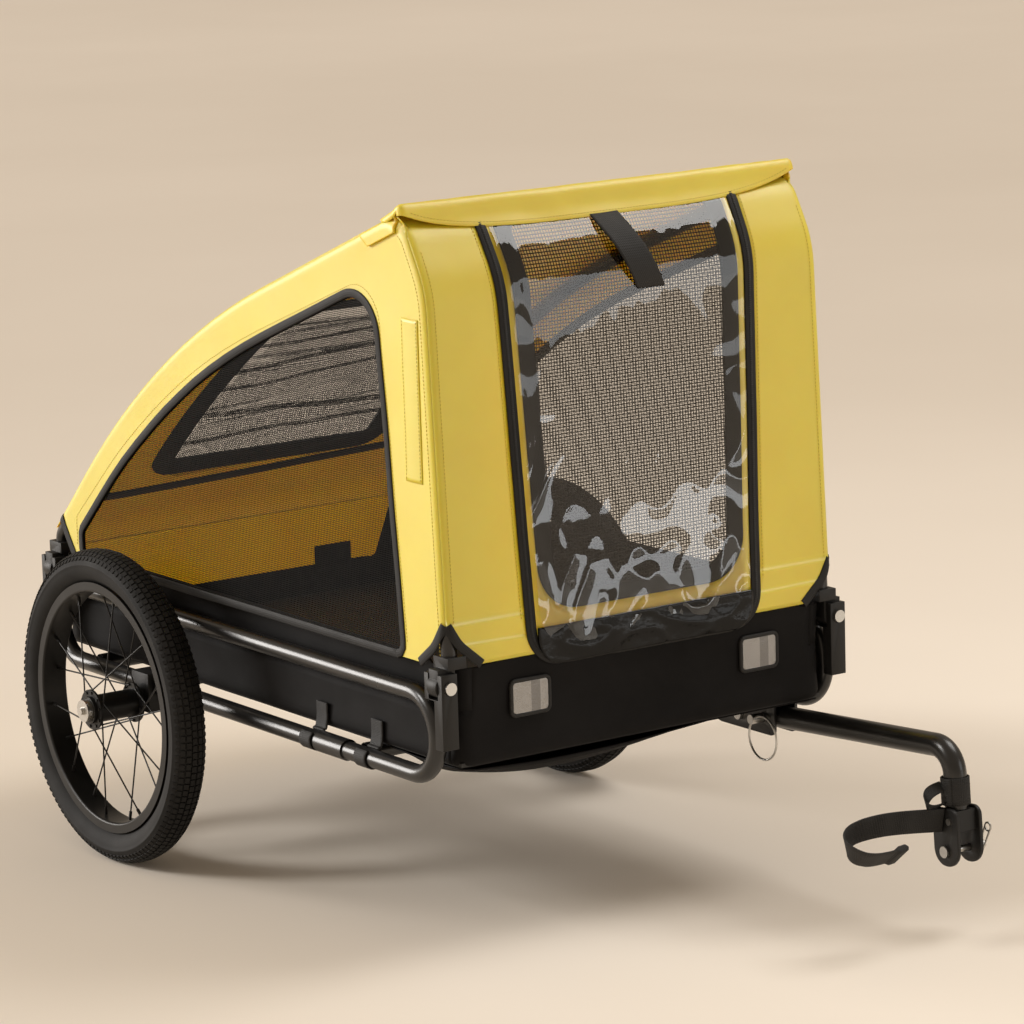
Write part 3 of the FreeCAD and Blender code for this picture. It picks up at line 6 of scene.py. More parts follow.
# %% Load the frame and keep its box
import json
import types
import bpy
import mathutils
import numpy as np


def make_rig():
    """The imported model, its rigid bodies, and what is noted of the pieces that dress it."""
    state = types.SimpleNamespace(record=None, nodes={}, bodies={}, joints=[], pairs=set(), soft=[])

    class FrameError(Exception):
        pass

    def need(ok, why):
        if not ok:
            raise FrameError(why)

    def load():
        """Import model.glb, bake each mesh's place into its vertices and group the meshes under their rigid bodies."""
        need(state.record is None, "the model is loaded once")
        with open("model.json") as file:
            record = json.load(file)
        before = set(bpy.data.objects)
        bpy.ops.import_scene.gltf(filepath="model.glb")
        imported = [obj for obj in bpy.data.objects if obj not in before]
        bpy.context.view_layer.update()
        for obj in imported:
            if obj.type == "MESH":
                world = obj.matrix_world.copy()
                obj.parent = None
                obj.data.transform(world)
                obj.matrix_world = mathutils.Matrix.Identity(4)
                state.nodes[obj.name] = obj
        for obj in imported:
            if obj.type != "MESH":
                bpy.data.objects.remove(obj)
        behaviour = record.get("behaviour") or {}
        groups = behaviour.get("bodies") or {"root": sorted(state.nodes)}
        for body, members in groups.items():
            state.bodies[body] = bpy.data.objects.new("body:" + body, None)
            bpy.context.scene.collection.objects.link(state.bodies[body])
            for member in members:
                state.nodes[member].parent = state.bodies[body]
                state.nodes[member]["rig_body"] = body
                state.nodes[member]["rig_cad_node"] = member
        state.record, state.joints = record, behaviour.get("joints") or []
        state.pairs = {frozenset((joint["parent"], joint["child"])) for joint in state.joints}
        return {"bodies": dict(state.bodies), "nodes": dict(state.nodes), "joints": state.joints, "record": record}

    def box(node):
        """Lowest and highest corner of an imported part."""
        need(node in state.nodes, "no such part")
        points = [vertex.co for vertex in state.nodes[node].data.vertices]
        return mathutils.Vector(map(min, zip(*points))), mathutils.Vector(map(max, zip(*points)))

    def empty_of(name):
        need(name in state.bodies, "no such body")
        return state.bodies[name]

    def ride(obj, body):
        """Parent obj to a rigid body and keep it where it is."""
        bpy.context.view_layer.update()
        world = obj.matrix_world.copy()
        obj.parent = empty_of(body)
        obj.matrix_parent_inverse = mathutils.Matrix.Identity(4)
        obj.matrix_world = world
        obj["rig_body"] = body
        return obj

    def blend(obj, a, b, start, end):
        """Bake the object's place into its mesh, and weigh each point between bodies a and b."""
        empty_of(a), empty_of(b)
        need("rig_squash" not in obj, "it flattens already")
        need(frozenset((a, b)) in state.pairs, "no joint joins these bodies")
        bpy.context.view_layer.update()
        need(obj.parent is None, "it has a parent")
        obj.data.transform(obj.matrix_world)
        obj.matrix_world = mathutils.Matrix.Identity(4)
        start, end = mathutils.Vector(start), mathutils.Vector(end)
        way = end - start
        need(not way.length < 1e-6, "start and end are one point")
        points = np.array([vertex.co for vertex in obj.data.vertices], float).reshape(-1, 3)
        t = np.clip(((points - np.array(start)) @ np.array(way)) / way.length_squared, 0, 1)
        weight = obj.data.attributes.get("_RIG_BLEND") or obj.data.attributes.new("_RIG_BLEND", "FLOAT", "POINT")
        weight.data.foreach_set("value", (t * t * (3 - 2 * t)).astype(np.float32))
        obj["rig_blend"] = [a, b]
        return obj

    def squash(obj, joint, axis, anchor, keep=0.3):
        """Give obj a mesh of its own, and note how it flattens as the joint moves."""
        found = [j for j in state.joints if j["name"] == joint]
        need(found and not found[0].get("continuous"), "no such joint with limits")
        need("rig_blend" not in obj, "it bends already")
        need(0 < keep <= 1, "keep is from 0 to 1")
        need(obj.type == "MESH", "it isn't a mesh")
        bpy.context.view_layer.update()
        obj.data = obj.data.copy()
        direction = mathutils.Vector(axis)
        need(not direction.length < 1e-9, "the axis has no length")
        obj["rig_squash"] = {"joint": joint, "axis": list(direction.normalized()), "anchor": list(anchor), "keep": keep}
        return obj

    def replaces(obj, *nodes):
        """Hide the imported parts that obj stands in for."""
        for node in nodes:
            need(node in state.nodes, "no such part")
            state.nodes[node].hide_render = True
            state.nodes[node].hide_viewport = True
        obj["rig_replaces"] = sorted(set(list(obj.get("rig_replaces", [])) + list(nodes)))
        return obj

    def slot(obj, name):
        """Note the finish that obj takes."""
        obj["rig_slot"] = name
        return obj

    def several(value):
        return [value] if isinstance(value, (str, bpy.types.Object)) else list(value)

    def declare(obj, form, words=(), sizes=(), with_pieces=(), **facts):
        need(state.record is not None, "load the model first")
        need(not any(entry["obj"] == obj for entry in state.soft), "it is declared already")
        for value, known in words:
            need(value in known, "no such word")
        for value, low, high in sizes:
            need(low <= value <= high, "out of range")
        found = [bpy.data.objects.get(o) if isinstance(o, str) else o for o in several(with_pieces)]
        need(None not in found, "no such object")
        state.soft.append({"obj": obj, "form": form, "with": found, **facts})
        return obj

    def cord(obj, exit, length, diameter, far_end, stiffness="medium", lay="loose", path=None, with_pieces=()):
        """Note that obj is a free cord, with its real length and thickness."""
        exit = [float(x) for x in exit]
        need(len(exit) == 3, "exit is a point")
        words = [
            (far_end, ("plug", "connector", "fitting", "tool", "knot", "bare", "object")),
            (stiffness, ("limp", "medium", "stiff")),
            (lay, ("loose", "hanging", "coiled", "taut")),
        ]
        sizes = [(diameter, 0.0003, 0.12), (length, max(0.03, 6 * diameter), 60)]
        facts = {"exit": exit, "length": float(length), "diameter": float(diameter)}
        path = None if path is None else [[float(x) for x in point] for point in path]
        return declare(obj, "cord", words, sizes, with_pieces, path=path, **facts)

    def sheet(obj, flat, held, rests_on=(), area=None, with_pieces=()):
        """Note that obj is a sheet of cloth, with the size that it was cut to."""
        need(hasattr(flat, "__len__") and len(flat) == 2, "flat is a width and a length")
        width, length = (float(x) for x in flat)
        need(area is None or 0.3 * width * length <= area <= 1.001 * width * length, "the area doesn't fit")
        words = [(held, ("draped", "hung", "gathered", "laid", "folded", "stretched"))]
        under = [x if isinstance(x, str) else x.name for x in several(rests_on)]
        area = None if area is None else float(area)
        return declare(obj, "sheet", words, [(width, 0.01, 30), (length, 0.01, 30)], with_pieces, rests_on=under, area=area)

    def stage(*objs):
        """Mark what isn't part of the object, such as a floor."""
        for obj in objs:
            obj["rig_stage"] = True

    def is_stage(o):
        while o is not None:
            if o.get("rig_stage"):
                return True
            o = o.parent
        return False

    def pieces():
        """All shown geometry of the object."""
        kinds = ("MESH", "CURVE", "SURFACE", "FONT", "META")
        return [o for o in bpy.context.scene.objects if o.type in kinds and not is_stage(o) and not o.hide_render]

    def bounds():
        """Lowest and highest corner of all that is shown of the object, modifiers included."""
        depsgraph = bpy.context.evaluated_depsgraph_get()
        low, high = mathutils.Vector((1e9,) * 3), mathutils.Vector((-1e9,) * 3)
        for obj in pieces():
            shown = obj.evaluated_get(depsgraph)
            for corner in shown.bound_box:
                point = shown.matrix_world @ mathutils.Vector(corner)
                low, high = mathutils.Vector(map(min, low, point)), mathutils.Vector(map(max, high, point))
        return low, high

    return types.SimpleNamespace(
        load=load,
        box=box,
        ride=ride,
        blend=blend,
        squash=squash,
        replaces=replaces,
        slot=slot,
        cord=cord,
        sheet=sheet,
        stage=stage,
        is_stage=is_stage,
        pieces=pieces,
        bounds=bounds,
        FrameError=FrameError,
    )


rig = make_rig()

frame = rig.load()

import json
from math import atan2, cos, pi, radians, sin, sqrt, tan

import bmesh
import bpy
import numpy as np
from mathutils import Matrix, Vector, noise

cad_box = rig.bounds()
scene = bpy.context.scene
nodes = frame["nodes"]
scene.view_settings.view_transform = "Standard"
print("nodes", len(nodes), "box", [tuple(corner) for corner in cad_box])

# %% [markdown]
# ## Camera
# A camera object looks along its own minus Z axis. Its three axes were worked out from the wheels and from
# pairs of features that are the same on the left and right, so they are set as the columns of its matrix.

# %% Camera
camera_right = Vector((0.819165, -0.572824, -0.029018))
camera_up = Vector((0.135184, 0.143657, 0.980351))
camera_back = Vector((-0.5574, -0.806992, 0.195115))
camera_place = Vector((-3.20066, -4.68123, 1.58038))
lens = bpy.data.cameras.new("camera")
lens.sensor_width = 36.0
lens.lens = 165.269
lens.clip_end = 200.0
camera = bpy.data.objects.new("camera", lens)
axes = Matrix((camera_right, camera_up, camera_back)).transposed()
camera.matrix_world = Matrix.Translation(camera_place) @ axes.to_4x4()
scene.collection.objects.link(camera)
scene.camera = camera
print("camera lens", lens.lens)

# %% [markdown]
# ## Floor and light
# A wide pale floor fills the whole picture. The main light comes from the left and a little behind, so the
# side is bright and the front is in half shade. It is a sun with a wide angle: it lights the floor evenly and
# still gives soft shadows. A second, wider one low at the left rear puts a pale sheen on the coated cloth of
# the side, a soft box above does so on the hem, and two boxes in front give the clear film edges to reflect.

# %% Floor and light
floor_mesh = bpy.data.meshes.new("floor")
reach = 40.0
floor_mesh.from_pydata(
    [(-reach, -reach, 0), (reach, -reach, 0), (reach, reach, 0), (-reach, reach, 0)], [], [(0, 1, 2, 3)]
)
floor = bpy.data.objects.new("floor", floor_mesh)
scene.collection.objects.link(floor)
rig.stage(floor)


def soft_light(name, place, target, size, power, colour):
    """A soft box that points at a target; its size is a width and a height."""
    lamp = bpy.data.lights.new(name, "AREA")
    lamp.shape = "RECTANGLE"
    lamp.size, lamp.size_y = size
    lamp.energy = power
    lamp.color = colour
    box = bpy.data.objects.new(name, lamp)
    box.location = place
    box.rotation_euler = (Vector(target) - Vector(place)).to_track_quat("-Z", "Y").to_euler()
    scene.collection.objects.link(box)


def sun_light(name, way, power, angle, colour):
    """A far light from one direction, as wide as its angle in degrees."""
    lamp = bpy.data.lights.new(name, "SUN")
    lamp.energy = power
    lamp.angle = radians(angle)
    lamp.color = colour
    far = bpy.data.objects.new(name, lamp)
    far.rotation_euler = (-Vector(way)).to_track_quat("-Z", "Y").to_euler()
    scene.collection.objects.link(far)


sun_light("key", (-0.80, 0.34, 0.62), 1.1, 15, (1.0, 0.98, 0.95))
sun_light("sheen", (-0.577, 0.79, 0.19), 2.3, 28, (1.0, 0.96, 0.92))
soft_light("film_box", (1.85, -3.05, 1.06), (0, -0.3, 0.60), (1.2, 1.2), 9, (0.95, 0.98, 1.0))
soft_light("film_strip", (1.85, -3.05, 0.075), (0, -0.3, 0.40), (1.3, 0.11), 1.6, (0.95, 0.98, 1.0))
soft_light("top_box", (1.5, -0.85, 3.0), (0, -0.4, 0.8), (1.6, 1.6), 42, (1.0, 0.98, 0.95))
world = bpy.data.worlds.new("studio")
world.use_nodes = True
scene.world = world
air = world.node_tree.nodes["Background"]
air.inputs["Color"].default_value = (1.0, 0.82, 0.63, 1)
air.inputs["Strength"].default_value = 0.43
print("lights", [o.name for o in scene.objects if o.type == "LIGHT"])

# %% [markdown]
# ## How a finish is made
# Every material here is a Principled shader with a few texture nodes in front of it. Two small helpers make
# the nodes, so each finish below says only what is special about it. `speckle` varies a colour a little from
# place to place, as dye, dust and wear do, and `bumps` turns any pattern into small relief.

# %% Helpers for finishes
def new_finish(name, **sockets):
    """A material, its node tree and its shader, with constant values set on the shader itself."""
    finish = bpy.data.materials.new(name)
    finish.use_nodes = True
    tree = finish.node_tree
    shader = tree.nodes["Principled BSDF"]
    for socket, value in sockets.items():
        shader.inputs[socket.replace("_", " ")].default_value = value
    return finish, tree, shader


def add_node(tree, kind, settings=None, **inputs):
    """Add a node; an input is either a value or another node's output."""
    node = tree.nodes.new(kind)
    for key, value in (settings or {}).items():
        setattr(node, key, value)
    for key, value in inputs.items():
        socket = node.inputs[int(key[1:])] if key[0] == "i" and key[1:].isdigit() else node.inputs[key]
        if isinstance(value, bpy.types.NodeSocket):
            tree.links.new(value, socket)
        else:
            socket.default_value = value
    return node


def arithmetic(tree, operation, first, second=0.0):
    return add_node(tree, "ShaderNodeMath", {"operation": operation}, i0=first, i1=second).outputs[0]


def place_in(tree, space="Object"):
    return add_node(tree, "ShaderNodeTexCoord").outputs[space]


def speckle(tree, place, scale, dark, light, low=0.35, high=0.65, detail=4.0):
    """A colour that wanders between two colours."""
    cloud = add_node(tree, "ShaderNodeTexNoise", Vector=place, Scale=scale, Detail=detail)
    ramp = add_node(tree, "ShaderNodeValToRGB", Fac=cloud.outputs["Fac"])
    ramp.color_ramp.elements[0].position = low
    ramp.color_ramp.elements[1].position = high
    ramp.color_ramp.elements[0].color = (*dark, 1)
    ramp.color_ramp.elements[1].color = (*light, 1)
    return ramp.outputs["Color"]


def wander(tree, place, scale, low, high, detail=4.0):
    """A number that wanders between two values, for roughness."""
    cloud = add_node(tree, "ShaderNodeTexNoise", Vector=place, Scale=scale, Detail=detail)
    spread = add_node(tree, "ShaderNodeMapRange", Value=cloud.outputs["Fac"])
    spread.inputs["To Min"].default_value = low
    spread.inputs["To Max"].default_value = high
    return spread.outputs["Result"]


def bumps(tree, shader, height, distance, strength=1.0, under=None):
    bump = add_node(tree, "ShaderNodeBump", Strength=strength, Distance=distance, Height=height)
    if under is not None:
        tree.links.new(under, bump.inputs["Normal"])
    tree.links.new(bump.outputs["Normal"], shader.inputs["Normal"])
    return bump.outputs["Normal"]


def threads(tree, place, pitch):
    """How high the warp and the weft stand at a place: two rows of round threads."""
    split = add_node(tree, "ShaderNodeSeparateXYZ", Vector=place)
    rows = []
    for axis in (0, 1):
        turns = arithmetic(tree, "MULTIPLY", split.outputs[axis], pi / pitch[axis])
        rows.append(arithmetic(tree, "ABSOLUTE", arithmetic(tree, "SINE", turns)))
    return rows


print("finish helpers ready")

# %% [markdown]
# ## Cloth finishes
# The cover is a coated plain weave: bright yellow, a little glossy, with the threads just showing. The tub is
# the same cloth in black. The pattern reads the sheet's own UV map, which is its flat size in metres, so the
# weave keeps its scale and direction on every panel. The meshes are open weaves, so their threads decide
# where the sheet is solid and where it lets the view through.

# %% Cloth finishes
def woven_cloth(name, dark, light, roughness, pitch=0.0011, relief=0.00012, **sockets):
    finish, tree, shader = new_finish(name, **sockets)
    place = place_in(tree, "UV")
    tree.links.new(speckle(tree, place, 9.0, dark, light), shader.inputs["Base Color"])
    tree.links.new(wander(tree, place, 30.0, roughness - 0.06, roughness + 0.06), shader.inputs["Roughness"])
    warp, weft = threads(tree, place, (pitch, pitch))
    weave = arithmetic(tree, "MULTIPLY", warp, weft)
    soft = add_node(tree, "ShaderNodeTexNoise", Vector=place, Scale=26.0, Detail=3.0)
    slack = bumps(tree, shader, soft.outputs["Fac"], 0.0012, 0.35)
    bumps(tree, shader, weave, relief, 0.6, slack)
    return finish


def open_mesh(name, dark, light, pitch, cover, roughness=0.6):
    """A net: solid on the threads, clear between them."""
    finish, tree, shader = new_finish(name, Roughness=roughness, Specular_IOR_Level=0.12)
    place = place_in(tree, "UV")
    tree.links.new(speckle(tree, place, 60.0, dark, light), shader.inputs["Base Color"])
    warp, weft = threads(tree, place, pitch)
    edge_u = arithmetic(tree, "LESS_THAN", warp, sin(pi / 2 * cover[0]))
    edge_v = arithmetic(tree, "LESS_THAN", weft, sin(pi / 2 * cover[1]))
    tree.links.new(arithmetic(tree, "MAXIMUM", edge_u, edge_v), shader.inputs["Alpha"])
    return finish


GLOW = {"Subsurface_Radius": (1.0, 0.62, 0.05), "Subsurface_Scale": 0.006}
yellow_cloth = woven_cloth("yellow_cloth", (0.79, 0.570, 0.010), (0.83, 0.612, 0.020), 0.48,
                           Specular_IOR_Level=0.7, Coat_Weight=0.9, Coat_Roughness=0.46,
                           Subsurface_Weight=0.55, **GLOW)
tub_cloth = woven_cloth("tub_cloth", (0.0040, 0.0036, 0.0036), (0.0080, 0.0074, 0.0076), 0.70, 0.0013,
                        Specular_IOR_Level=0.14)
border_cloth = woven_cloth("border_cloth", (0.005, 0.005, 0.005), (0.010, 0.010, 0.010), 0.55, 0.0010,
                           Specular_IOR_Level=0.25)
binding_tape = woven_cloth("binding_tape", (0.006, 0.006, 0.006), (0.013, 0.012, 0.012), 0.62, 0.0024, 0.0003,
                           Specular_IOR_Level=0.35)
webbing = woven_cloth("webbing", (0.006, 0.006, 0.006), (0.014, 0.013, 0.012), 0.60, 0.0026, 0.0005,
                      Specular_IOR_Level=0.4)
side_net = open_mesh("side_net", (0.003, 0.003, 0.003), (0.008, 0.007, 0.006), (0.0034, 0.0026), (0.22, 0.25))
door_net = open_mesh("door_net", (0.020, 0.018, 0.016), (0.040, 0.036, 0.032), (0.0040, 0.0040), (0.33, 0.33))
print("cloth finishes", yellow_cloth.name, tub_cloth.name, side_net.name)

# %% [markdown]
# ## Hard finishes
# Powder coat on the tubes, moulded plastic on the hinges, rubber on the tyres and bright steel on the small
# hardware. None is one flat colour: each has a fine relief and a roughness that wanders, which is what makes
# a highlight look real.

# %% Hard finishes
def hard_finish(name, dark, light, rough, grain, relief, **sockets):
    finish, tree, shader = new_finish(name, **sockets)
    place = place_in(tree)
    tree.links.new(speckle(tree, place, 14.0, dark, light), shader.inputs["Base Color"])
    tree.links.new(wander(tree, place, 22.0, *rough), shader.inputs["Roughness"])
    cells = add_node(tree, "ShaderNodeTexNoise", Vector=place, Scale=grain, Detail=2.0)
    bumps(tree, shader, cells.outputs["Fac"], relief, 0.5)
    return finish


def black(level):
    return (level, level * 0.97, level * 0.94)


powder_coat = hard_finish("powder_coat", black(0.006), black(0.011), (0.24, 0.34), 900.0, 0.00006,
                          Coat_Weight=0.12, Coat_Roughness=0.18)
plastic = hard_finish("plastic", black(0.007), black(0.013), (0.40, 0.55), 1500.0, 0.00012,
                      Specular_IOR_Level=0.35)
rim_paint = hard_finish("rim_paint", black(0.006), black(0.011), (0.30, 0.45), 700.0, 0.00006,
                        Specular_IOR_Level=0.3)
rubber = hard_finish("rubber", black(0.006), black(0.014), (0.60, 0.80), 1200.0, 0.00016,
                     Specular_IOR_Level=0.24)
steel = hard_finish("bright_steel", (0.46, 0.45, 0.43), (0.66, 0.65, 0.62), (0.20, 0.36), 600.0, 0.00004,
                    Metallic=1.0)
board_finish = hard_finish("board_finish", black(0.014), black(0.028), (0.55, 0.75), 400.0, 0.00010)
zip_finish = hard_finish("zip_finish", black(0.010), black(0.018), (0.35, 0.50), 900.0, 0.00008)
inner_rubber = hard_finish("inner_rubber", black(0.018), black(0.030), (0.55, 0.70), 800.0, 0.00008)

NODE_FINISHES = {
    "frame_black": powder_coat, "bracket_black": plastic, "wheel_black": rim_paint, "spoke_black": rim_paint,
    "steel": steel, "axle_steel": steel, "wire_steel": steel, "tyre": rubber, "tube_rubber": inner_rubber,
    "cover_yellow": yellow_cloth, "mesh_black": side_net, "mesh_grey": door_net, "door_black": border_cloth,
    "zip_black": zip_finish, "tub_black": tub_cloth, "board_black": board_finish,
    "webbing_black": webbing, "hem_fibre": plastic, "reflective": steel, "vinyl_clear": steel,
}
for piece in nodes.values():
    slot_name = piece.data.materials[0].name.split(".")[0]
    piece.data.materials[0] = NODE_FINISHES[slot_name]
print("finishes on", len(nodes), "nodes")

floor_paint, floor_tree, floor_shader = new_finish("floor_paint", Roughness=0.85)
floor_place = place_in(floor_tree)
floor_tone = speckle(floor_tree, floor_place, 0.5, (0.83, 0.755, 0.66), (0.87, 0.795, 0.70))
floor_tree.links.new(floor_tone, floor_shader.inputs["Base Color"])
floor_mesh.materials.append(floor_paint)

# %% [markdown]
# ## Lines and places on the cover
# The cover follows two bent side tubes, so its shape is one line seen from the side. The helpers below round
# a line's corners, set it off from the tube by the cloth's distance, and turn flat cloth places into places
# in the room: on a side, on the front or on the roof. `lift` is how far something stands off the cloth.

# %% Lines
def clamped(number):
    """A number kept between 0 and 1."""
    return min(1.0, max(0.0, number))


def eased(share):
    """A share that starts and ends softly."""
    return share * share * (3 - 2 * share)


def as_array(points):
    return np.array([tuple(p) for p in points], float)


def run_of(line):
    """How far along a line each of its points is."""
    return np.concatenate([[0], np.cumsum(np.linalg.norm(np.diff(line, axis=0), axis=1))])


AXLE_Y = 0.351764
SIDE_TUBE = [
    (-658, 356, 0), (-636, 787, 110), (-593, 863, 34), (-40, 648, 1300), (236, 375, 18), (236, 356, 0),
]
COVER_OFF = 12.0
COVER_HALF = 283.3
EDGE_ROUND = 11.0
EDGE_MEET = EDGE_ROUND * (1 - sqrt(0.5))
EDGE_CALM, ROOF_CALM = 60, 80
ROOF_SAG = 5.0


def spot(x, y, z):
    """Millimetres from the point under the axle's middle, turned into metres in the frame."""
    return Vector((x / 1000, y / 1000 + AXLE_Y, z / 1000))


def rounded(corners, closed=False, step=radians(5)):
    """Points of a line whose corners (u, v, radius) are rounded."""
    points = []
    count = len(corners)
    for i, (u, v, radius) in enumerate(corners):
        here = Vector((u, v))
        if radius == 0 or (not closed and i in (0, count - 1)):
            points.append(here)
            continue
        back = (Vector(corners[i - 1][:2]) - here).normalized()
        ahead = (Vector(corners[(i + 1) % count][:2]) - here).normalized()
        half = back.angle(ahead) / 2
        middle = here + (back + ahead).normalized() * (radius / sin(half))
        start = here + back * (radius / tan(half)) - middle
        turn = (pi - 2 * half) * (1 if back.cross(ahead) < 0 else -1)
        steps = max(3, int(abs(turn) / step), int(abs(turn) * radius / 40))
        for k in range(steps + 1):
            points.append(middle + Matrix.Rotation(turn * k / steps, 2) @ start)
    return points


def grown(line, offset):
    """The same line set off to its outer side."""
    moved = []
    for i, (u, v, radius) in enumerate(line):
        here = Vector((u, v))
        before = here - Vector(line[i - 1][:2]) if i else None
        after = Vector(line[i + 1][:2]) - here if i + 1 < len(line) else None
        out_before = Vector((-before.y, before.x)).normalized() if before else None
        out_after = Vector((-after.y, after.x)).normalized() if after else None
        if before and after:
            mitre = (out_before + out_after).normalized()
            here = here + mitre * (offset / mitre.dot(out_before))
        else:
            here = here + (out_before or out_after) * offset
        moved.append((here.x, here.y, radius + offset if radius else 0))
    return moved


def evenly(points, count, closed=False):
    """The same line with points at equal distances."""
    line = as_array([*points, points[0]] if closed else points)
    run = run_of(line)
    places = np.linspace(0, run[-1], count + 1)[:-1] if closed else np.linspace(0, run[-1], count)
    return np.stack([np.interp(places, run, line[:, k]) for k in range(line.shape[1])], 1)


COVER_LINE = grown(SIDE_TUBE, COVER_OFF)
cover_profile = as_array(rounded(COVER_LINE))
PEAK = COVER_LINE[2][:2]
peak_at = int(np.argmax(cover_profile[:, 1]))
front_profile = cover_profile[: peak_at + 1]
roof_profile = cover_profile[peak_at:]
roof_run = run_of(roof_profile)
print("cover peak", PEAK, "roof length", round(roof_run[-1]))

# %% Places on the cloth
def turned_over(edge):
    """How far the cloth has dropped where it turns over the tube, by its distance from the edge."""
    if edge >= EDGE_ROUND:
        return 0.0
    return EDGE_ROUND - sqrt(max(0.0, EDGE_ROUND ** 2 - (EDGE_ROUND - max(edge, 0.0)) ** 2))


def to_profile(y, z):
    """Distance from a place on the side to the cover's edge line."""
    start, run = cover_profile[:-1], np.diff(cover_profile, axis=0)
    share = ((np.array((y, z)) - start) * run).sum(1) / (run ** 2).sum(1)
    near = start + run * np.clip(share, 0, 1)[:, None]
    return float(np.sqrt(((np.array((y, z)) - near) ** 2).sum(1).min()))


def ripple(u, v, size, seed=0.0):
    return noise.noise(Vector((u / size, v / size, seed)))


def side_place(sign, slack=1.3):
    """The function that puts flat places on one side."""
    def place(y, z, lift=0.0):
        edge = to_profile(y, z)
        calm = min(1.0, edge / EDGE_CALM)
        wave = slack * calm * (ripple(y, z, 130, sign) + 0.5 * ripple(y, z * 0.5, 60, 3 + sign))
        return spot(sign * (COVER_HALF - turned_over(edge) + lift + wave), y, z)
    return place


def front_y(z):
    return float(np.interp(z, front_profile[:, 1], front_profile[:, 0]))


def front_place(x, z, lift=0.0):
    slope = (front_y(z + 2) - front_y(z - 2)) / 4
    out = Vector((-1, slope)).normalized()
    calm = min(1.0, (COVER_HALF - abs(x)) / EDGE_CALM)
    wave = calm * (ripple(x, z, 140, 7) + 0.5 * ripple(x * 0.6, z, 70, 9))
    rise = lift + wave - turned_over(COVER_HALF - abs(x))
    return spot(x, front_y(z) + out.x * rise, z + out.y * rise)


def on_roof(s):
    """A place on the roof's side line, by its run."""
    return np.array([np.interp(s, roof_run, roof_profile[:, k]) for k in (0, 1)])


def roof_place(x, s, lift=0.0):
    y, z = on_roof(s)
    ahead = on_roof(s + 3) - on_roof(s - 3)
    out = Vector((-ahead[1], ahead[0])).normalized()
    calm = min(1.0, (COVER_HALF - abs(x)) / ROOF_CALM)
    sag = ROOF_SAG * calm * sin(pi * clamped(s / roof_run[-1]))
    wave = 1.2 * calm * ripple(x, s, 150, 5)
    rise = lift + wave - sag - turned_over(COVER_HALF - abs(x))
    return spot(x, y + out.x * rise, z + out.y * rise)


print("front at half height", round(front_y(600)), "roof middle", tuple(roof_place(0, 400)))

# %% [markdown]
# ## Sheets of cloth
# A panel with a hole is a ring of rows between two outlines, and a filled panel is the same ring closed to a
# point. Both are laid out flat first, so the flat place becomes the UV map, and then every point is put on
# the cover. Solidify gives the cloth its thickness, and the result is kept as a plain mesh.

# %% Helpers for sheets
def seen_from(centre, outline, angles):
    """Where rays from a centre meet a closed outline."""
    start = as_array(outline) - centre
    run = np.roll(start, -1, axis=0) - start
    hits = []
    for angle in angles:
        ray = np.array((cos(angle), sin(angle)))
        cross = ray[0] * run[:, 1] - ray[1] * run[:, 0]
        cross = np.where(np.abs(cross) < 1e-9, 1e-9, cross)
        reach_out = (start[:, 0] * run[:, 1] - start[:, 1] * run[:, 0]) / cross
        share = (start[:, 0] * ray[1] - start[:, 1] * ray[0]) / cross
        good = (share >= -1e-6) & (share <= 1 + 1e-6) & (reach_out > 0)
        hits.append(centre + ray * reach_out[good].min())
    return np.array(hits)


def corner_angles(centre, outlines, count):
    """Evenly spread angles, and those of every point of the outlines."""
    angles = list(np.linspace(-pi, pi, count, endpoint=False))
    for outline in outlines:
        angles += [atan2(p[1] - centre[1], p[0] - centre[0]) for p in outline]
    return sorted(set(np.round(angles, 4)))


def make_piece(name, points, faces, finish, flat=None):
    mesh = bpy.data.meshes.new(name)
    mesh.from_pydata([tuple(p) for p in points], [], faces)
    mesh.materials.append(finish)
    mesh.polygons.foreach_set("use_smooth", [True] * len(mesh.polygons))
    if flat is not None:
        layer = mesh.uv_layers.new(name="flat")
        index = np.zeros(len(mesh.loops), np.int32)
        mesh.loops.foreach_get("vertex_index", index)
        layer.data.foreach_set("uv", (np.array(flat, np.float32)[index] / 1000).ravel())
    mesh.update()
    piece = bpy.data.objects.new(name, mesh)
    scene.collection.objects.link(piece)
    return piece


def grid_faces(along, across, closed=False, tube=False):
    """Faces between rows of points; closed joins the last row to the first, tube a row's end to its start."""
    faces = []
    for i in range(along if closed else along - 1):
        k = (i + 1) % along
        for j in range(across if tube else across - 1):
            m = (j + 1) % across
            faces.append((i * across + j, i * across + m, k * across + m, k * across + j))
    return faces


def faced_out(piece):
    """Turn the faces of a closed shell outward."""
    shell = bmesh.new()
    shell.from_mesh(piece.data)
    bmesh.ops.recalc_face_normals(shell, faces=shell.faces)
    shell.to_mesh(piece.data)
    shell.free()
    return piece


def turn_outward(piece, way):
    """Flip a sheet whose faces look the wrong way."""
    way = Vector(way)
    if sum((f.normal * f.area for f in piece.data.polygons), Vector()).dot(way) < 0:
        piece.data.flip_normals()
    return piece


def settle(piece):
    """Make what the modifiers show into the piece's own plain mesh."""
    scene.view_layers[0].update()
    shown = piece.evaluated_get(bpy.context.evaluated_depsgraph_get())
    mesh = bpy.data.meshes.new_from_object(shown, preserve_all_data_layers=True,
                                           depsgraph=bpy.context.evaluated_depsgraph_get())
    piece.modifiers.clear()
    piece.data = mesh
    mesh.name = piece.name
    return piece


def thicken(piece, thickness, offset=-1.0):
    """Give a sheet its thickness, inward from the side that shows."""
    wall = piece.modifiers.new("thickness", "SOLIDIFY")
    wall.thickness = thickness / 1000
    wall.offset = offset
    return settle(piece)


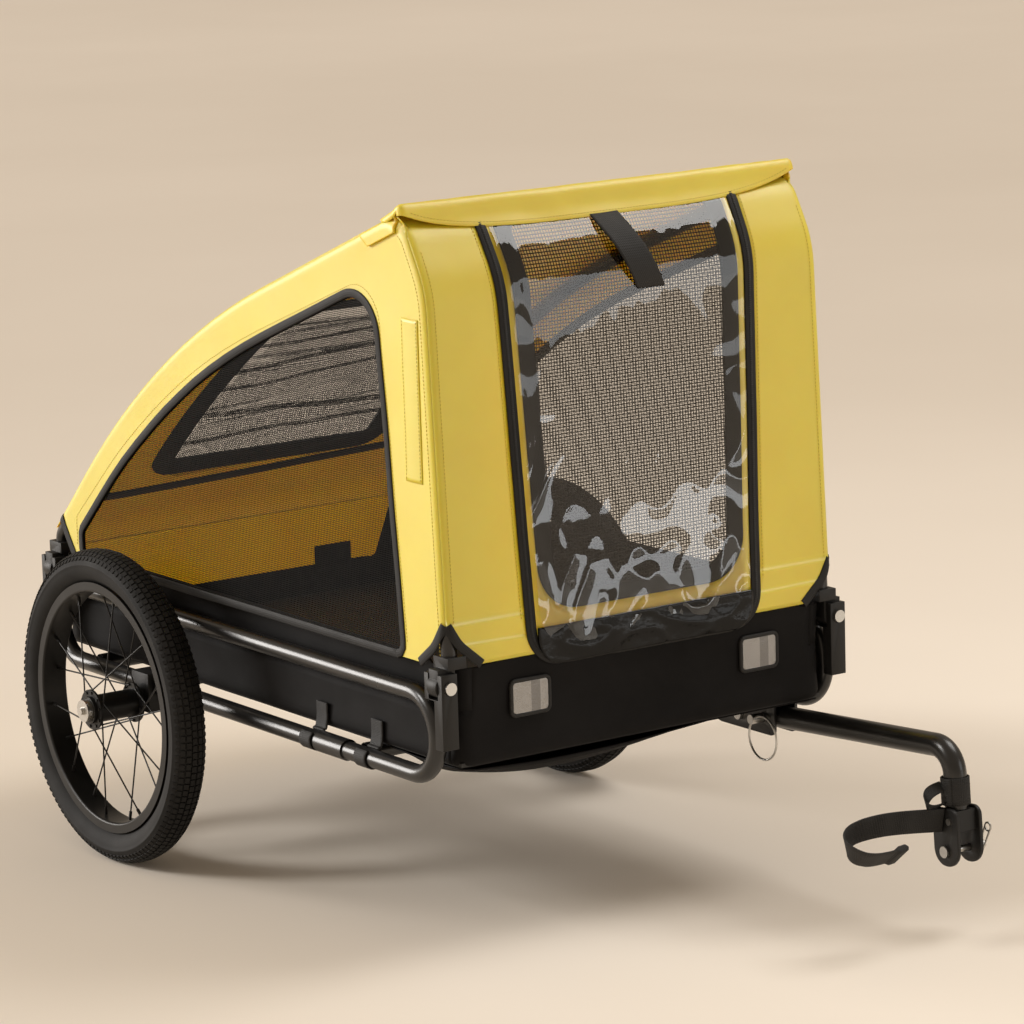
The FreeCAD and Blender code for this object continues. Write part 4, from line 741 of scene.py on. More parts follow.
def ring_sheet(name, outer, inner, centre, place, finish, way, rows, lift=0.0, count=200):
    """A sheet between two closed outlines; rows run from 0 at the inner one to 1 at the outer one."""
    centre = np.array(centre, float)
    angles = corner_angles(centre, (outer, inner), count)
    far = seen_from(centre, outer, angles)
    near = seen_from(centre, inner, angles)
    flat = [near[i] + (far[i] - near[i]) * t for i in range(len(angles)) for t in rows]
    faces = grid_faces(len(angles), len(rows), closed=True)
    return turn_outward(make_piece(name, [place(u, v, lift) for u, v in flat], faces, finish, flat), way)


def filled_sheet(name, outer, centre, place, finish, way, rows=12, lift=None, count=160):
    """A sheet inside one closed outline; lift may be a function of the flat place."""
    centre = np.array(centre, float)
    lift = lift or (lambda u, v: 0.0)
    angles = corner_angles(centre, (outer,), count)
    far = seen_from(centre, outer, angles)
    flat = [centre]
    faces = []
    for i in range(len(angles)):
        k = (i + 1) % len(angles)
        for j in range(1, rows + 1):
            flat.append(centre + (far[i] - centre) * j / rows)
            here, there = 1 + i * rows + j - 1, 1 + k * rows + j - 1
            faces.append((0, here, there) if j == 1 else (here - 1, here, there, there - 1))
    points = [place(u, v, lift(u, v)) for u, v in flat]
    return turn_outward(make_piece(name, points, faces, finish, flat), way)


def strip_sheet(name, line_a, line_b, place, finish, way, rows, lift=0.0):
    """A sheet between two open lines with as many points; rows are shares, or a number of even rows."""
    rows = np.linspace(0, 1, rows) if isinstance(rows, int) else rows
    flat = [a + (b - a) * t for a, b in zip(line_a, line_b) for t in rows]
    faces = grid_faces(len(line_a), len(rows))
    return turn_outward(make_piece(name, [place(u, v, lift) for u, v in flat], faces, finish, flat), way)


def level(across, height):
    """A flat line at one height."""
    return np.stack([across, np.full(len(across), height)], 1)


def upright(across, heights):
    """A flat line straight up."""
    return np.stack([np.full(len(heights), across), heights], 1)


def tape(name, line, width, rise, place, finish, way, closed=False, shift=0.0):
    """A flat tape with rolled edges, laid along a line on the cloth."""
    line = as_array(line)
    ahead = np.roll(line, -1, 0) - np.roll(line, 1, 0)
    if not closed:
        ahead[0], ahead[-1] = line[1] - line[0], line[-1] - line[-2]
    across = np.stack([-ahead[:, 1], ahead[:, 0]], 1)
    across /= np.linalg.norm(across, axis=1)[:, None]
    half = width / 2
    section = [(-half, -0.4), (-half - 0.2, rise * 0.6), (-half + 0.8, rise), (0, rise * 1.15),
               (half - 0.8, rise), (half + 0.2, rise * 0.6), (half, -0.4)]
    points, flat = [], []
    for p, a, s in zip(line, across, run_of(line)):
        for off, height in section:
            u, v = p + a * (off + shift)
            points.append(place(u, v, height))
            flat.append((s, off))
    faces = grid_faces(len(line), len(section), closed)
    return turn_outward(make_piece(name, points, faces, finish, flat), way)


def dress(piece, body, slot_name, *replaced):
    """Let a piece ride on a body, take its slot and stand for CAD nodes."""
    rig.ride(piece, body)
    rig.slot(piece, slot_name)
    if replaced:
        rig.replaces(piece, *replaced)
    return piece


def joined(name, pieces):
    """Several meshes as one piece."""
    with bpy.context.temp_override(active_object=pieces[0], selected_editable_objects=pieces):
        bpy.ops.object.join()
    pieces[0].name = name
    pieces[0].data.name = name
    return pieces[0]


def area_of(outline):
    """Square metres inside a closed outline in millimetres."""
    line = as_array(outline)
    ahead = np.roll(line, -1, 0)
    return abs(float((line[:, 0] * ahead[:, 1] - line[:, 1] * ahead[:, 0]).sum())) / 2e6


def length_of(outline):
    line = as_array(outline)
    return float(np.linalg.norm(np.roll(line, -1, 0) - line, axis=1).sum()) / 1000


def declare_sheet(piece, outline, rests_on, held="stretched"):
    """A filled panel: its cut is the outline, inside the rectangle round it."""
    line = as_array(outline) / 1000
    size = line.max(0) - line.min(0)
    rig.sheet(piece, tuple(size), held, rests_on, area=min(area_of(outline), float(size.prod())))


def declare_band(piece, outer, inner, rests_on):
    """A panel round a window is cut as bands: as long as its middle line, and as wide as its area asks."""
    area = area_of(outer) - area_of(inner)
    length = (length_of(outer) + length_of(inner)) / 2
    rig.sheet(piece, (area / length, length), "stretched", rests_on)


FOLD = {"joint": "left_side_fold", "axis": (0, 0, 1), "keep": 0.3}
SKIRT_FOLD = (0, 0, 0.345)
HEM_FOLD = (0, 0, 0.877013)
print("sheet helpers ready")

# %% [markdown]
# ## Side panels and their mesh windows
# Each side is one sail-shaped yellow panel on its tube frame, with a large mesh window edged in black tape.
# The panel could be a flat plate, but real cloth turns over the tube at its edge, so its outer rows bend
# round the tube. The foot is cut away at both hinges, and those cuts are edged as well.

# %% Side panels
SKIRT = 354.0
CUT_OUT = 50.0
CLOTH = 1.2
SIDE_MIDDLE = (-300, 520)


def side_outline():
    """The panel's edge, from the front cut over the peak to the rear cut."""
    _, brow, peak, knee, heel, _ = grown(SIDE_TUBE, COVER_OFF - EDGE_MEET)
    foot, shin = SIDE_TUBE[:2]
    lean = (shin[0] - foot[0]) / (shin[1] - foot[1])
    arch = SKIRT + CUT_OUT
    arch_y = foot[0] - COVER_OFF + EDGE_MEET + (arch - foot[1]) * lean
    tail = heel[0] - CUT_OUT
    back_slope = (heel[1] - knee[1]) / (heel[0] - knee[0])
    return [
        (arch_y + CUT_OUT, SKIRT, 0), (arch_y + 20, SKIRT + 22, 60), (arch_y, arch, 0), brow,
        (peak[0], peak[1], 16), knee,
        (tail + 25, heel[1] + back_slope * (tail + 25 - heel[0]), 0), (tail - 10, SKIRT, 0),
    ]


def window_outline(growth=0.0):
    """The side window's edge, or one that is a growth larger."""
    _, _, peak, knee, heel, _ = grown(SIDE_TUBE, COVER_OFF - 60)
    foot = SKIRT + 5 - growth
    return [
        (-578 - growth, foot, 10), (peak[0] + 32 - growth * 0.6, peak[1] - 14.4 + growth, 48),
        (knee[0], knee[1] + growth * 1.2, knee[2]), (165 + growth, heel[1] + 36 + growth * 1.4, 10),
        (165 + growth, foot, 8),
    ]


ROWS_OUT = [0, 0.02, 0.06, 0.12, 0.2, 0.3, 0.42, 0.54, 0.66, 0.76, 0.84, 0.9, 0.94, 0.965, 0.985, 1.0]
panel_edge = rounded(side_outline(), closed=True)
window_edge = rounded(window_outline(), closed=True)
window_line = evenly(window_edge, 300, True)
net_edge = rounded(window_outline(4), closed=True)


def just_inside(u, v):
    """A net is sewn behind its panel."""
    return -1.6


for side, sign in (("left", 1), ("right", -1)):
    way = (sign, 0, 0)
    place = side_place(sign)
    panel = ring_sheet(f"{side}_side_cloth", panel_edge, window_edge, SIDE_MIDDLE, place, yellow_cloth, way,
                       ROWS_OUT, 0.0, 260)
    dress(thicken(panel, CLOTH), f"{side}_side", "cover_yellow", f"{side}_side_panel")
    net = filled_sheet(f"{side}_side_net", net_edge, SIDE_MIDDLE, place, side_net, way, 12, just_inside)
    dress(net, f"{side}_side", "mesh_black", f"{side}_side_mesh")
    declare_band(panel, panel_edge, window_edge, f"{side}_side_tube")
    declare_sheet(net, net_edge, panel.name)
    edging = tape(f"{side}_window_binding", window_line, 10, 1.6, place, binding_tape, way, True, 3.0)
    foot_cut = rounded(side_outline()[:3])
    tail_cut = [p[:2] for p in side_outline()[6:]]
    cuts = [tape(f"{side}_cut_{k}", evenly(line, 30), 11, 1.4, place, binding_tape, way)
            for k, line in enumerate((foot_cut, tail_cut))]

    def inside(u, v, lift, place=place):
        return place(u, v, -1.4 - lift)

    inner_edge = tape(f"{side}_inner_binding", window_line, 12, 1.2, inside, binding_tape, (-sign, 0, 0),
                      True, 3.0)
    dress(joined(f"{side}_window_binding", [edging, inner_edge, *cuts]), f"{side}_side", "zip_black")
    print(side, "panel faces", len(panel.data.polygons))

# %% [markdown]
# ## Roof and its mesh window
# The roof is one long sheet from the hem at the top down to the tail. It is laid out flat as width against
# run along the cover line, so the window is a plain rounded rectangle in it. Between the two tubes the cloth
# sags a little, which `roof_place` adds. A wide black border holds the mesh, and a second, looser net hangs
# under it in folds.

# %% Roof
ROOF_START = 13.0
ROOF_HALF = COVER_HALF - EDGE_MEET
FOOT_NECK, FOOT_HALF = 251, 246
WINDOW_FRONT, WINDOW_REAR, WINDOW_HALF = -185, 172, 172


def run_at(y):
    """Run along the roof at a place along the trailer."""
    return float(np.interp(y, roof_profile[:, 0], roof_run))


roof_end = roof_run[-1] + 2.0
roof_outline = rounded([
    (-ROOF_HALF, ROOF_START, 0), (ROOF_HALF, ROOF_START, 0), (ROOF_HALF, roof_end - 34, 0),
    (FOOT_NECK, roof_end - 20, 8), (FOOT_HALF, roof_end, 6), (-FOOT_HALF, roof_end, 6),
    (-FOOT_NECK, roof_end - 20, 8), (-ROOF_HALF, roof_end - 34, 0),
], closed=True)


roof_front, roof_back = run_at(WINDOW_FRONT), run_at(WINDOW_REAR)


def rounded_box(half, low, high, corner):
    """A closed rectangle with rounded corners, even about its middle line."""
    return rounded([(-half, low, corner), (half, low, corner), (half, high, corner), (-half, high, corner)],
                   closed=True)


def roof_window(growth):
    """The roof window's edge, or one that is a growth larger."""
    return rounded_box(WINDOW_HALF + growth, roof_front - growth, roof_back + growth, 30 + growth)


roof_middle = (0, (roof_front + roof_back) / 2)
UP_BACK = (0, 0.5, 0.8)
ROOF_ROWS = [0, 0.03, 0.08, 0.16, 0.26, 0.38, 0.5, 0.62, 0.74, 0.84, 0.91, 0.955, 0.98, 1.0]
roof = ring_sheet("roof_cloth", roof_outline, roof_window(0), roof_middle, roof_place, yellow_cloth, UP_BACK,
                  ROOF_ROWS, 0.0, 260)
dress(thicken(roof, CLOTH), "chassis", "cover_yellow", "roof_panel")
roof_net = filled_sheet("roof_net", roof_window(4), roof_middle, roof_place, side_net, UP_BACK, 14,
                        just_inside)
dress(roof_net, "chassis", "mesh_black", "roof_mesh")
roof_border = ring_sheet("roof_window_border", roof_window(10), roof_window(-22), roof_middle, roof_place,
                         border_cloth, UP_BACK, [0, 0.05, 0.3, 0.5, 0.7, 0.95, 1], 1.0, 220)
dress(thicken(roof_border, 3.4), "chassis", "door_black")
declare_band(roof, roof_outline, roof_window(0), ["left_side_tube", "right_side_tube"])
declare_sheet(roof_net, roof_window(4), roof.name)
declare_band(roof_border, roof_window(10), roof_window(-22), roof.name)


def inner_fold(u, v):
    """The loose inner net hangs in long folds that run across the roof."""
    crest = 1 - abs(ripple(u * 0.16 + v * 0.10, v, 46, 15)) * 2.2
    return -9 - 10 * max(0.0, crest) ** 2 - 3 * ripple(u, v, 90, 17)


inner_net = filled_sheet("roof_inner_net", roof_window(-6), roof_middle, roof_place, side_net, UP_BACK, 40,
                         inner_fold, 240)
dress(inner_net, "chassis", "mesh_black")
declare_sheet(inner_net, roof_window(-6), roof_border.name, "hung")
print("roof run", round(roof_end), "faces", len(roof.data.polygons))

# %% Folds and flap under the roof
dense_net = open_mesh("dense_net", (0.003, 0.003, 0.003), (0.007, 0.006, 0.006), (0.0034, 0.0026),
                      (0.50, 0.50))
FOLDS = [
    (0.10, 0.16, 7), (0.26, 0.20, 10), (0.42, 0.30, 12), (0.55, 0.42, 9), (0.68, 0.74, 13), (0.84, 0.80, 9),
]
FOLD_HALF = 168


def under_roof(depth):
    return lambda u, v, lift: roof_place(u, v, lift - depth)


fold_pieces = []
for k, (start, end, width) in enumerate(FOLDS):
    line = []
    for share in np.linspace(0, 1, 40):
        along_roof = roof_front + (roof_back - roof_front) * (start + (end - start) * share)
        sway = 9 * ripple(share * 200, k * 50, 60, 19)
        line.append((FOLD_HALF * (2 * share - 1), along_roof + sway))
    fold_pieces.append(tape(f"fold_{k}", line, width, -1.0, under_roof(7), dense_net, UP_BACK))
net_folds = dress(joined("roof_net_folds", fold_pieces), "chassis", "mesh_black")
flap_line = [(-232 + 430 * share, roof_back + 40 - 26 * share ** 1.4) for share in np.linspace(0, 1, 60)]
flap_edge = tape("roof_flap_edge", flap_line, 17, -1.2, under_roof(2.4), border_cloth, UP_BACK)
dress(flap_edge, "chassis", "door_black")
for cloth in (roof, roof_net, roof_border, inner_net, net_folds, flap_edge):
    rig.squash(cloth, FOLD["joint"], FOLD["axis"], SKIRT_FOLD, FOLD["keep"])
print("folds", len(net_folds.data.polygons))

# %% [markdown]
# ## Front panel
# The yellow cloth round the door is an arch: up one side, across the top and down the other. A sheet between
# two open lines, the outer edge and the edge along the zips, gives it with clean rows. The foot corners are
# cut away over the hinges.

# %% Front panel
DOOR_FOOT = 356.0
DOOR_TOP = 861.5
ZIP_WIDE = 11.0
FRONT_HALF = COVER_HALF - EDGE_MEET
FRONT_TOP = 872.0
DOOR_HALF, DOOR_SPREAD = 158, 18
STRETCHES = (6, 6, 60, 60, 60, 6, 6)


def door_half(z, growth=0.0):
    """Half the door's width at a height."""
    return DOOR_HALF + DOOR_SPREAD * (z - DOOR_FOOT) / (DOOR_TOP - DOOR_FOOT) + growth


def arch_line(corners):
    """An arch from the corners of its right half, each stretch with its own number of points."""
    whole = [(-x, z) for x, z in corners] + corners[::-1]
    points = []
    for start, end, count in zip(whole, whole[1:], STRETCHES):
        share = np.linspace(0, 1, count)[:, None]
        points.append(np.array(start) + (np.array(end) - np.array(start)) * share)
    return np.concatenate(points)


edge_foot, edge_arch = FRONT_HALF - 44, SKIRT + CUT_OUT
arch_bend = (FRONT_HALF - 14, SKIRT + 26)
outer = arch_line([(edge_foot, SKIRT), arch_bend, (FRONT_HALF, edge_arch), (FRONT_HALF, FRONT_TOP)])
zip_turn = SKIRT + 24
inner = arch_line([
    (door_half(SKIRT, -8), SKIRT), (door_half(zip_turn, 6), zip_turn),
    (door_half(edge_arch, ZIP_WIDE), edge_arch), (door_half(DOOR_TOP, ZIP_WIDE), DOOR_TOP + 1),
])
FORWARD = (0, -1, 0)
front = strip_sheet("front_cloth", inner, outer, front_place, yellow_cloth, FORWARD,
                    [0, 0.1, 0.25, 0.4, 0.55, 0.7, 0.82, 0.9, 0.95, 0.98, 1.0])
dress(thicken(front, CLOTH), "chassis", "cover_yellow", "front_panel")
front_area = area_of(list(outer) + list(inner[::-1]))
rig.sheet(front, (front_area / 1.62, 1.62), "stretched", ["left_side_tube", "right_side_tube"])
corner_cuts = []
for sign in (-1, 1):
    line = rounded([(sign * edge_foot, SKIRT, 0), (sign * arch_bend[0], arch_bend[1], 50),
                    (sign * FRONT_HALF, edge_arch, 0)])
    line = evenly(line, 30)
    corner_cuts.append(tape(f"corner_cut_{sign}", line, 11, 1.4, front_place, binding_tape, FORWARD))
corner_binding = dress(joined("front_corner_binding", corner_cuts), "chassis", "zip_black")
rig.squash(corner_binding, FOLD["joint"], FOLD["axis"], SKIRT_FOLD, FOLD["keep"])
print("front faces", len(front.data.polygons), "area", round(front_area, 3))

# %% [markdown]
# ## Door: margin, border, mesh and clear film
# The door hangs from the hem. Its cloth is yellow at the very edge, then a black border, then an open mesh.
# A clear film lies loosely over all of it. Clear film shows only by what it reflects, so it gets real
# wrinkles in its mesh: ridges made from folded noise, strongest near the lower corners.

# %% Door cloth
def door_line(inset, foot, corner, top=0.0):
    """A rounded outline in the door, set in from its sides, its foot and its top."""
    low, high = SKIRT + foot, DOOR_TOP - top
    return rounded([
        (-door_half(low, -inset), low, corner), (door_half(low, -inset), low, corner),
        (door_half(high, -inset), high, corner / 3), (-door_half(high, -inset), high, corner / 3),
    ], closed=True)


DOOR_MIDDLE = (0, 610)
margin_outer, margin_inner = door_line(0.5, 2, 36), door_line(12, 48, 55, 2)
border_outer, border_inner = door_line(11, 46, 56, 0), door_line(34, 66, 45, 8)
mesh_edge = door_line(28, 60, 48, 4)
door_cloth = ring_sheet("door_margin", margin_outer, margin_inner, DOOR_MIDDLE, front_place, yellow_cloth,
                        FORWARD, [0, 0.25, 0.5, 0.75, 1], 0.2, 200)
dress(thicken(door_cloth, CLOTH), "door", "cover_yellow", "door_panel")
door_border = ring_sheet("door_border", border_outer, border_inner, DOOR_MIDDLE, front_place, border_cloth,
                         FORWARD, [0, 0.1, 0.3, 0.5, 0.7, 0.9, 1], 1.0, 200)
dress(thicken(door_border, 2.4), "door", "door_black")
door_mesh = filled_sheet("door_net", mesh_edge, DOOR_MIDDLE, front_place, door_net, FORWARD, 14,
                         lambda u, v: -2.5)
dress(door_mesh, "door", "mesh_grey", "door_mesh")
declare_band(door_cloth, margin_outer, margin_inner, "front_cloth")
declare_band(door_border, border_outer, border_inner, door_cloth.name)
declare_sheet(door_mesh, mesh_edge, door_border.name)
print("door cloth", len(door_cloth.data.polygons))

# %% Clear film
clear_film, film_tree, film_shader = new_finish("clear_film", Roughness=0.06)
film_out = film_tree.nodes["Material Output"]
clear = add_node(film_tree, "ShaderNodeBsdfTransparent", Color=(0.97, 0.97, 0.96, 1))
gloss = add_node(film_tree, "ShaderNodeBsdfGlossy", Color=(0.95, 0.96, 0.97, 1), Roughness=0.012)
facing = add_node(film_tree, "ShaderNodeFresnel", IOR=1.6)
film_mix = add_node(film_tree, "ShaderNodeMixShader", i0=facing.outputs[0], i1=clear.outputs[0],
                    i2=gloss.outputs[0])
film_tree.links.new(film_mix.outputs[0], film_out.inputs["Surface"])
film_tree.nodes.remove(film_shader)


def fold_of(u, v, size, seed):
    """A ridge where the noise passes through nothing."""
    return (1 - min(1.0, abs(ripple(u, v, size, seed)) * 2.4)) ** 2


def film_lift(u, v):
    """How far the film stands off: loose and wrinkled low down and at the sides, tucked in on top."""
    low = max(0.0, 1 - (v - SKIRT) / 230)
    side = max(0.0, abs(u) / 170 - 0.55) * 2
    folds = 2.4 * fold_of(u * 1.5, v * 0.4, 80, 31) + 1.7 * fold_of(u, v * 0.8, 52, 37)
    slack = 0.5 + 1.2 * low + 0.4 * side
    tucked = clamped((FILM_TUCK - v) / 26)
    wrinkles = (0.05 + 0.6 * low + 0.6 * side) * folds + slack * ripple(u * 1.3, v * 0.5, 110, 41)
    return 0.2 + tucked * (3.2 + wrinkles)


FILM_TUCK = 853.0
film_edge = door_line(5, 6, 44, 1)
film = filled_sheet("clear_window", film_edge, DOOR_MIDDLE, front_place, clear_film, FORWARD, 60, film_lift,
                    300)
dress(film, "door", "vinyl_clear", "door_window")
declare_sheet(film, film_edge, door_border.name)
print("film faces", len(film.data.polygons))

# %% Foot band of the door and the roll-up strap
glossy_band = hard_finish("glossy_band", black(0.004), black(0.007), (0.10, 0.20), 90.0, 0.0008,
                          Specular_IOR_Level=0.2)
BAND_FOOT, BAND_TOP, BAND_HALF, BAND_CORNER = 338.0, 384.0, 157.0, 34.0
STRAP_TOP, STRAP_LONG, STRAP_WIDE = 853.0, 92.0, 20.0


def band_place(x, z, lift=0.0):
    """The band's lower corners are round, so its rows get shorter towards the foot."""
    below = max(0.0, BAND_FOOT + BAND_CORNER - z)
    half = BAND_HALF - BAND_CORNER + sqrt(BAND_CORNER ** 2 - below ** 2)
    wave = 1.1 * fold_of(x, z * 2, 60, 51) + 0.7 * ripple(x, z * 2, 36, 53)
    return front_place(x * half / BAND_HALF, z, lift + 4.6 + wave * min(1.0, (z - BAND_FOOT) / 8))


band_x = np.linspace(-BAND_HALF, BAND_HALF, 110)
foot_band = strip_sheet("door_foot_band", level(band_x, BAND_FOOT), level(band_x, BAND_TOP), band_place,
                        glossy_band, FORWARD, 16)
dress(thicken(foot_band, 2.0), "door", "door_black")
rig.sheet(foot_band, (0.046, 0.314), "hung", [door_cloth.name])


def strap_place(x, z, lift=0.0):
    """The strap bows out from the door and drifts to one side as it hangs."""
    drop = clamped((STRAP_TOP - z) / STRAP_LONG)
    bow = 14 * sin(pi * min(1.0, drop * 0.92)) ** 0.8
    return front_place(x + 40 * drop ** 1.5 - 8, z, lift - 0.6 + bow)


strap_z = np.linspace(STRAP_TOP, STRAP_TOP - STRAP_LONG, 40)
roll_strap = strip_sheet("roll_up_strap", upright(-STRAP_WIDE, strap_z), upright(STRAP_WIDE, strap_z),
                         strap_place, webbing, FORWARD, 13)
dress(thicken(roll_strap, 1.8), "door", "webbing_black", "roll_strap")
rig.sheet(roll_strap, (0.04, 0.098), "hung", ["hem_cloth"])
for cloth in (door_cloth, door_border, door_mesh, film, foot_band, roll_strap):
    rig.squash(cloth, FOLD["joint"], FOLD["axis"], HEM_FOLD, FOLD["keep"])
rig.squash(front, FOLD["joint"], FOLD["axis"], SKIRT_FOLD, FOLD["keep"])
print("strap faces", len(roll_strap.data.polygons))

# %% [markdown]
# ## Zips
# Two black zips hold the door. Each is a woven tape with a row of small teeth down its middle. The tape is
# laid along the door's edge and turns inward round its lower corner; the teeth repeat along a line, so
# Geometry Nodes places them (further below).

# %% Zip tapes
ZIP_FOOT = 345.0
ZIP_END = 90
zips, zip_lines = [], []
for sign in (-1, 1):
    top, foot = (sign * door_half(z, ZIP_WIDE / 2) for z in (DOOR_TOP, ZIP_FOOT))
    line = rounded([(top, DOOR_TOP, 0), (foot, ZIP_FOOT, 38), (sign * ZIP_END, ZIP_FOOT, 0)])
    zip_lines.append(evenly(line, 140))
    zips.append(tape(f"zip_{sign}", zip_lines[-1], 14, 2.0, front_place, binding_tape, FORWARD))
zip_tapes = dress(joined("zip_tapes", zips), "chassis", "zip_black", "door_zips")
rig.squash(zip_tapes, FOLD["joint"], FOLD["axis"], SKIRT_FOLD, FOLD["keep"])
print("zip tape faces", len(zip_tapes.data.polygons))

# %% [markdown]
# ## Hem, corner tabs and flag sleeve
# The roof's front edge is rolled round a springy rod and sewn down, which makes a soft roll across the top.
# It goes up the front, over the peak and on into the roof, puffs out over the rod and turns down at both
# ends. At both corners a cloth tab is folded over, and on the right side a flat sleeve for a flag pole is
# sewn on by its two long edges.

# %% Hem
HEM_HALF = 292.0
HEM_TURN = 278.0
HEM_ROUND = 7.0
HEM_PUFF, HEM_REACH = 6.0, 13
hem_corner = np.array(PEAK)
front_way = np.array(COVER_LINE[1][:2]) - hem_corner
front_way /= np.linalg.norm(front_way)
roof_way = np.array(COVER_LINE[3][:2]) - hem_corner
roof_way /= np.linalg.norm(roof_way)


def hem_run(t):
    """A place on the roll over the peak: t is the run in millimetres, below 0 on the front."""
    if t < 0:
        return hem_corner - front_way * t
    straight = hem_corner + roof_way * t
    return straight + (on_roof(t) - straight) * eased(clamped((t - 8) / 14))


def hem_place(x, t, lift=0.0):
    """Past the rod's ends the flap turns down over them."""
    y, z = hem_run(t)
    before, after = hem_run(t - 9), hem_run(t + 9)
    out = Vector((before[1] - after[1], after[0] - before[0])).normalized()
    over = max(0.0, abs(x) - HEM_TURN)
    turn = min(over / HEM_ROUND, pi / 2)
    fall = HEM_ROUND * (1 - cos(turn)) + max(0.0, over - HEM_ROUND * pi / 2)
    across = min(abs(x), HEM_TURN) + (HEM_ROUND + lift) * sin(turn)
    puff = 1.4 + HEM_PUFF * np.exp(-(t / HEM_REACH) ** 2) + 0.8 * ripple(x, t * 2, 45, 61) * cos(turn)
    rise = lift * cos(turn) + puff - fall
    return spot(across * (1 if x > 0 else -1), y + out.x * rise, z + out.y * rise)


def hem_drop(x):
    """The sewn lower edge: short at the corners, and nearly straight between them."""
    return 5 + 31 * (1 - abs(x / HEM_HALF) ** 4)


hem_across = np.linspace(-HEM_HALF, HEM_HALF, 141)
hem_low = np.array([(x, -hem_drop(x)) for x in hem_across])
hem_high = np.array([(x, 30.0 - 14 * abs(x / HEM_HALF) ** 9) for x in hem_across])
hem = strip_sheet("hem_cloth", hem_low, hem_high, hem_place, yellow_cloth, (0, -0.7, 0.7), 18)
dress(thicken(hem, 1.6), "cover_top", "cover_yellow", "top_hem")
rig.sheet(hem, (0.080, 0.584), "stretched", ["hem_rod"])
print("hem faces", len(hem.data.polygons))

# %% Corner tabs and flag sleeve
tabs = []
share = np.linspace(0, 1, 24)[:, None]
down = np.array((roof_way[1], -roof_way[0]))
low = hem_corner + roof_way * (14 + 60 * share) + down * 22
high = hem_corner + roof_way * (10 + 78 * share) + down * 4
for sign in (-1, 1):
    tab = strip_sheet(f"tab_{sign}", low, high, side_place(sign), yellow_cloth, (sign, 0, 0),
                      [0, 0.06, 0.15, 0.3, 0.5, 0.7, 0.9, 1], 3.6)
    tabs.append(thicken(tab, 3.0))
corner_tabs = dress(joined("corner_flaps", tabs), "cover_top", "cover_yellow", "corner_tabs")
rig.sheet(corner_tabs, (0.024, 0.144), "folded", [hem.name])
sleeve_low, sleeve_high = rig.box("flag_sleeve")
sleeve_y = [(v - AXLE_Y) * 1000 for v in (sleeve_low.y, sleeve_high.y)]
sleeve_z = [v * 1000 for v in (sleeve_low.z, sleeve_high.z)]
heights = np.linspace(sleeve_z[0], sleeve_z[1], 40)
near, far = (upright(y, heights) for y in sleeve_y)
SLEEVE_SEAM = 0.06


def sleeve_place(y, z, lift=0.0):
    """Between its two seams the sleeve stands off a little, so that a pole fits."""
    share = (y - sleeve_y[0]) / (sleeve_y[1] - sleeve_y[0])
    puff = 0.0
    if SLEEVE_SEAM < share < 1 - SLEEVE_SEAM:
        puff = 0.9 * max(0.0, sin(pi * (share - SLEEVE_SEAM) / (1 - 2 * SLEEVE_SEAM))) ** 0.6
    return side_place(-1)(y, z, lift + 1.0 + puff)


sleeve = strip_sheet("flag_pole_sleeve", near, far, sleeve_place, yellow_cloth, (-1, 0, 0),
                     [0, 0.06, 0.15, 0.3, 0.5, 0.7, 0.85, 0.94, 1])
dress(thicken(sleeve, 1.0), "right_side", "cover_yellow", "flag_sleeve")
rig.sheet(sleeve, (0.032, 0.19), "stretched", ["right_side_cloth"])
print("sleeve", sleeve_y, sleeve_z)

# %% [markdown]
# ## Rows of small things
# Stitches, zip teeth and tread blocks all repeat along a line and stand off a surface. One Geometry Nodes
# tree serves them all: it walks along a line at a fixed spacing, puts a ball or a block at each step, and
# turns it along the line and away from the surface. The line has an `outward` vector on each of its points.

# %% Geometry Nodes: a row of small things
row_tree = bpy.data.node_groups.new("row_of_small_things", "GeometryNodeTree")
ROW_INPUTS = {}


def row_input(name, kind, default=None):
    socket = row_tree.interface.new_socket(name, in_out="INPUT", socket_type=kind)
    if default is not None:
        socket.default_value = default
    ROW_INPUTS[name] = socket.identifier


row_tree.interface.new_socket("Geometry", in_out="OUTPUT", socket_type="NodeSocketGeometry")
row_input("Geometry", "NodeSocketGeometry")
row_input("Spacing", "NodeSocketFloat", 0.004)
row_input("Size", "NodeSocketVector", (0.003, 0.001, 0.001))
row_input("Round", "NodeSocketBool", True)
row_input("Finish", "NodeSocketMaterial")
row_in = row_tree.nodes.new("NodeGroupInput")
row_out = row_tree.nodes.new("NodeGroupOutput")
line = add_node(row_tree, "GeometryNodeMeshToCurve", Mesh=row_in.outputs["Geometry"])
steps = add_node(row_tree, "GeometryNodeResampleCurve", {"mode": "LENGTH"}, Curve=line.outputs[0],
                 Length=row_in.outputs["Spacing"])
ball = add_node(row_tree, "GeometryNodeMeshIcoSphere", Radius=0.5, Subdivisions=2)
block = add_node(row_tree, "GeometryNodeMeshCube", Size=(1, 1, 1))
shape = add_node(row_tree, "GeometryNodeSwitch", {"input_type": "GEOMETRY"}, Switch=row_in.outputs["Round"],
                 **{"False": block.outputs[0], "True": ball.outputs[0]})
along_line = row_tree.nodes.new("GeometryNodeInputTangent")
outward = add_node(row_tree, "GeometryNodeInputNamedAttribute", {"data_type": "FLOAT_VECTOR"}, Name="outward")
first_turn = add_node(row_tree, "FunctionNodeAlignRotationToVector", {"axis": "X"},
                      Vector=along_line.outputs[0])
full_turn = add_node(row_tree, "FunctionNodeAlignRotationToVector", {"axis": "Z", "pivot_axis": "X"},
                     Rotation=first_turn.outputs[0], Vector=outward.outputs[0])
copies = add_node(row_tree, "GeometryNodeInstanceOnPoints", Points=steps.outputs[0],
                  Instance=shape.outputs[0], Rotation=full_turn.outputs[0], Scale=row_in.outputs["Size"])
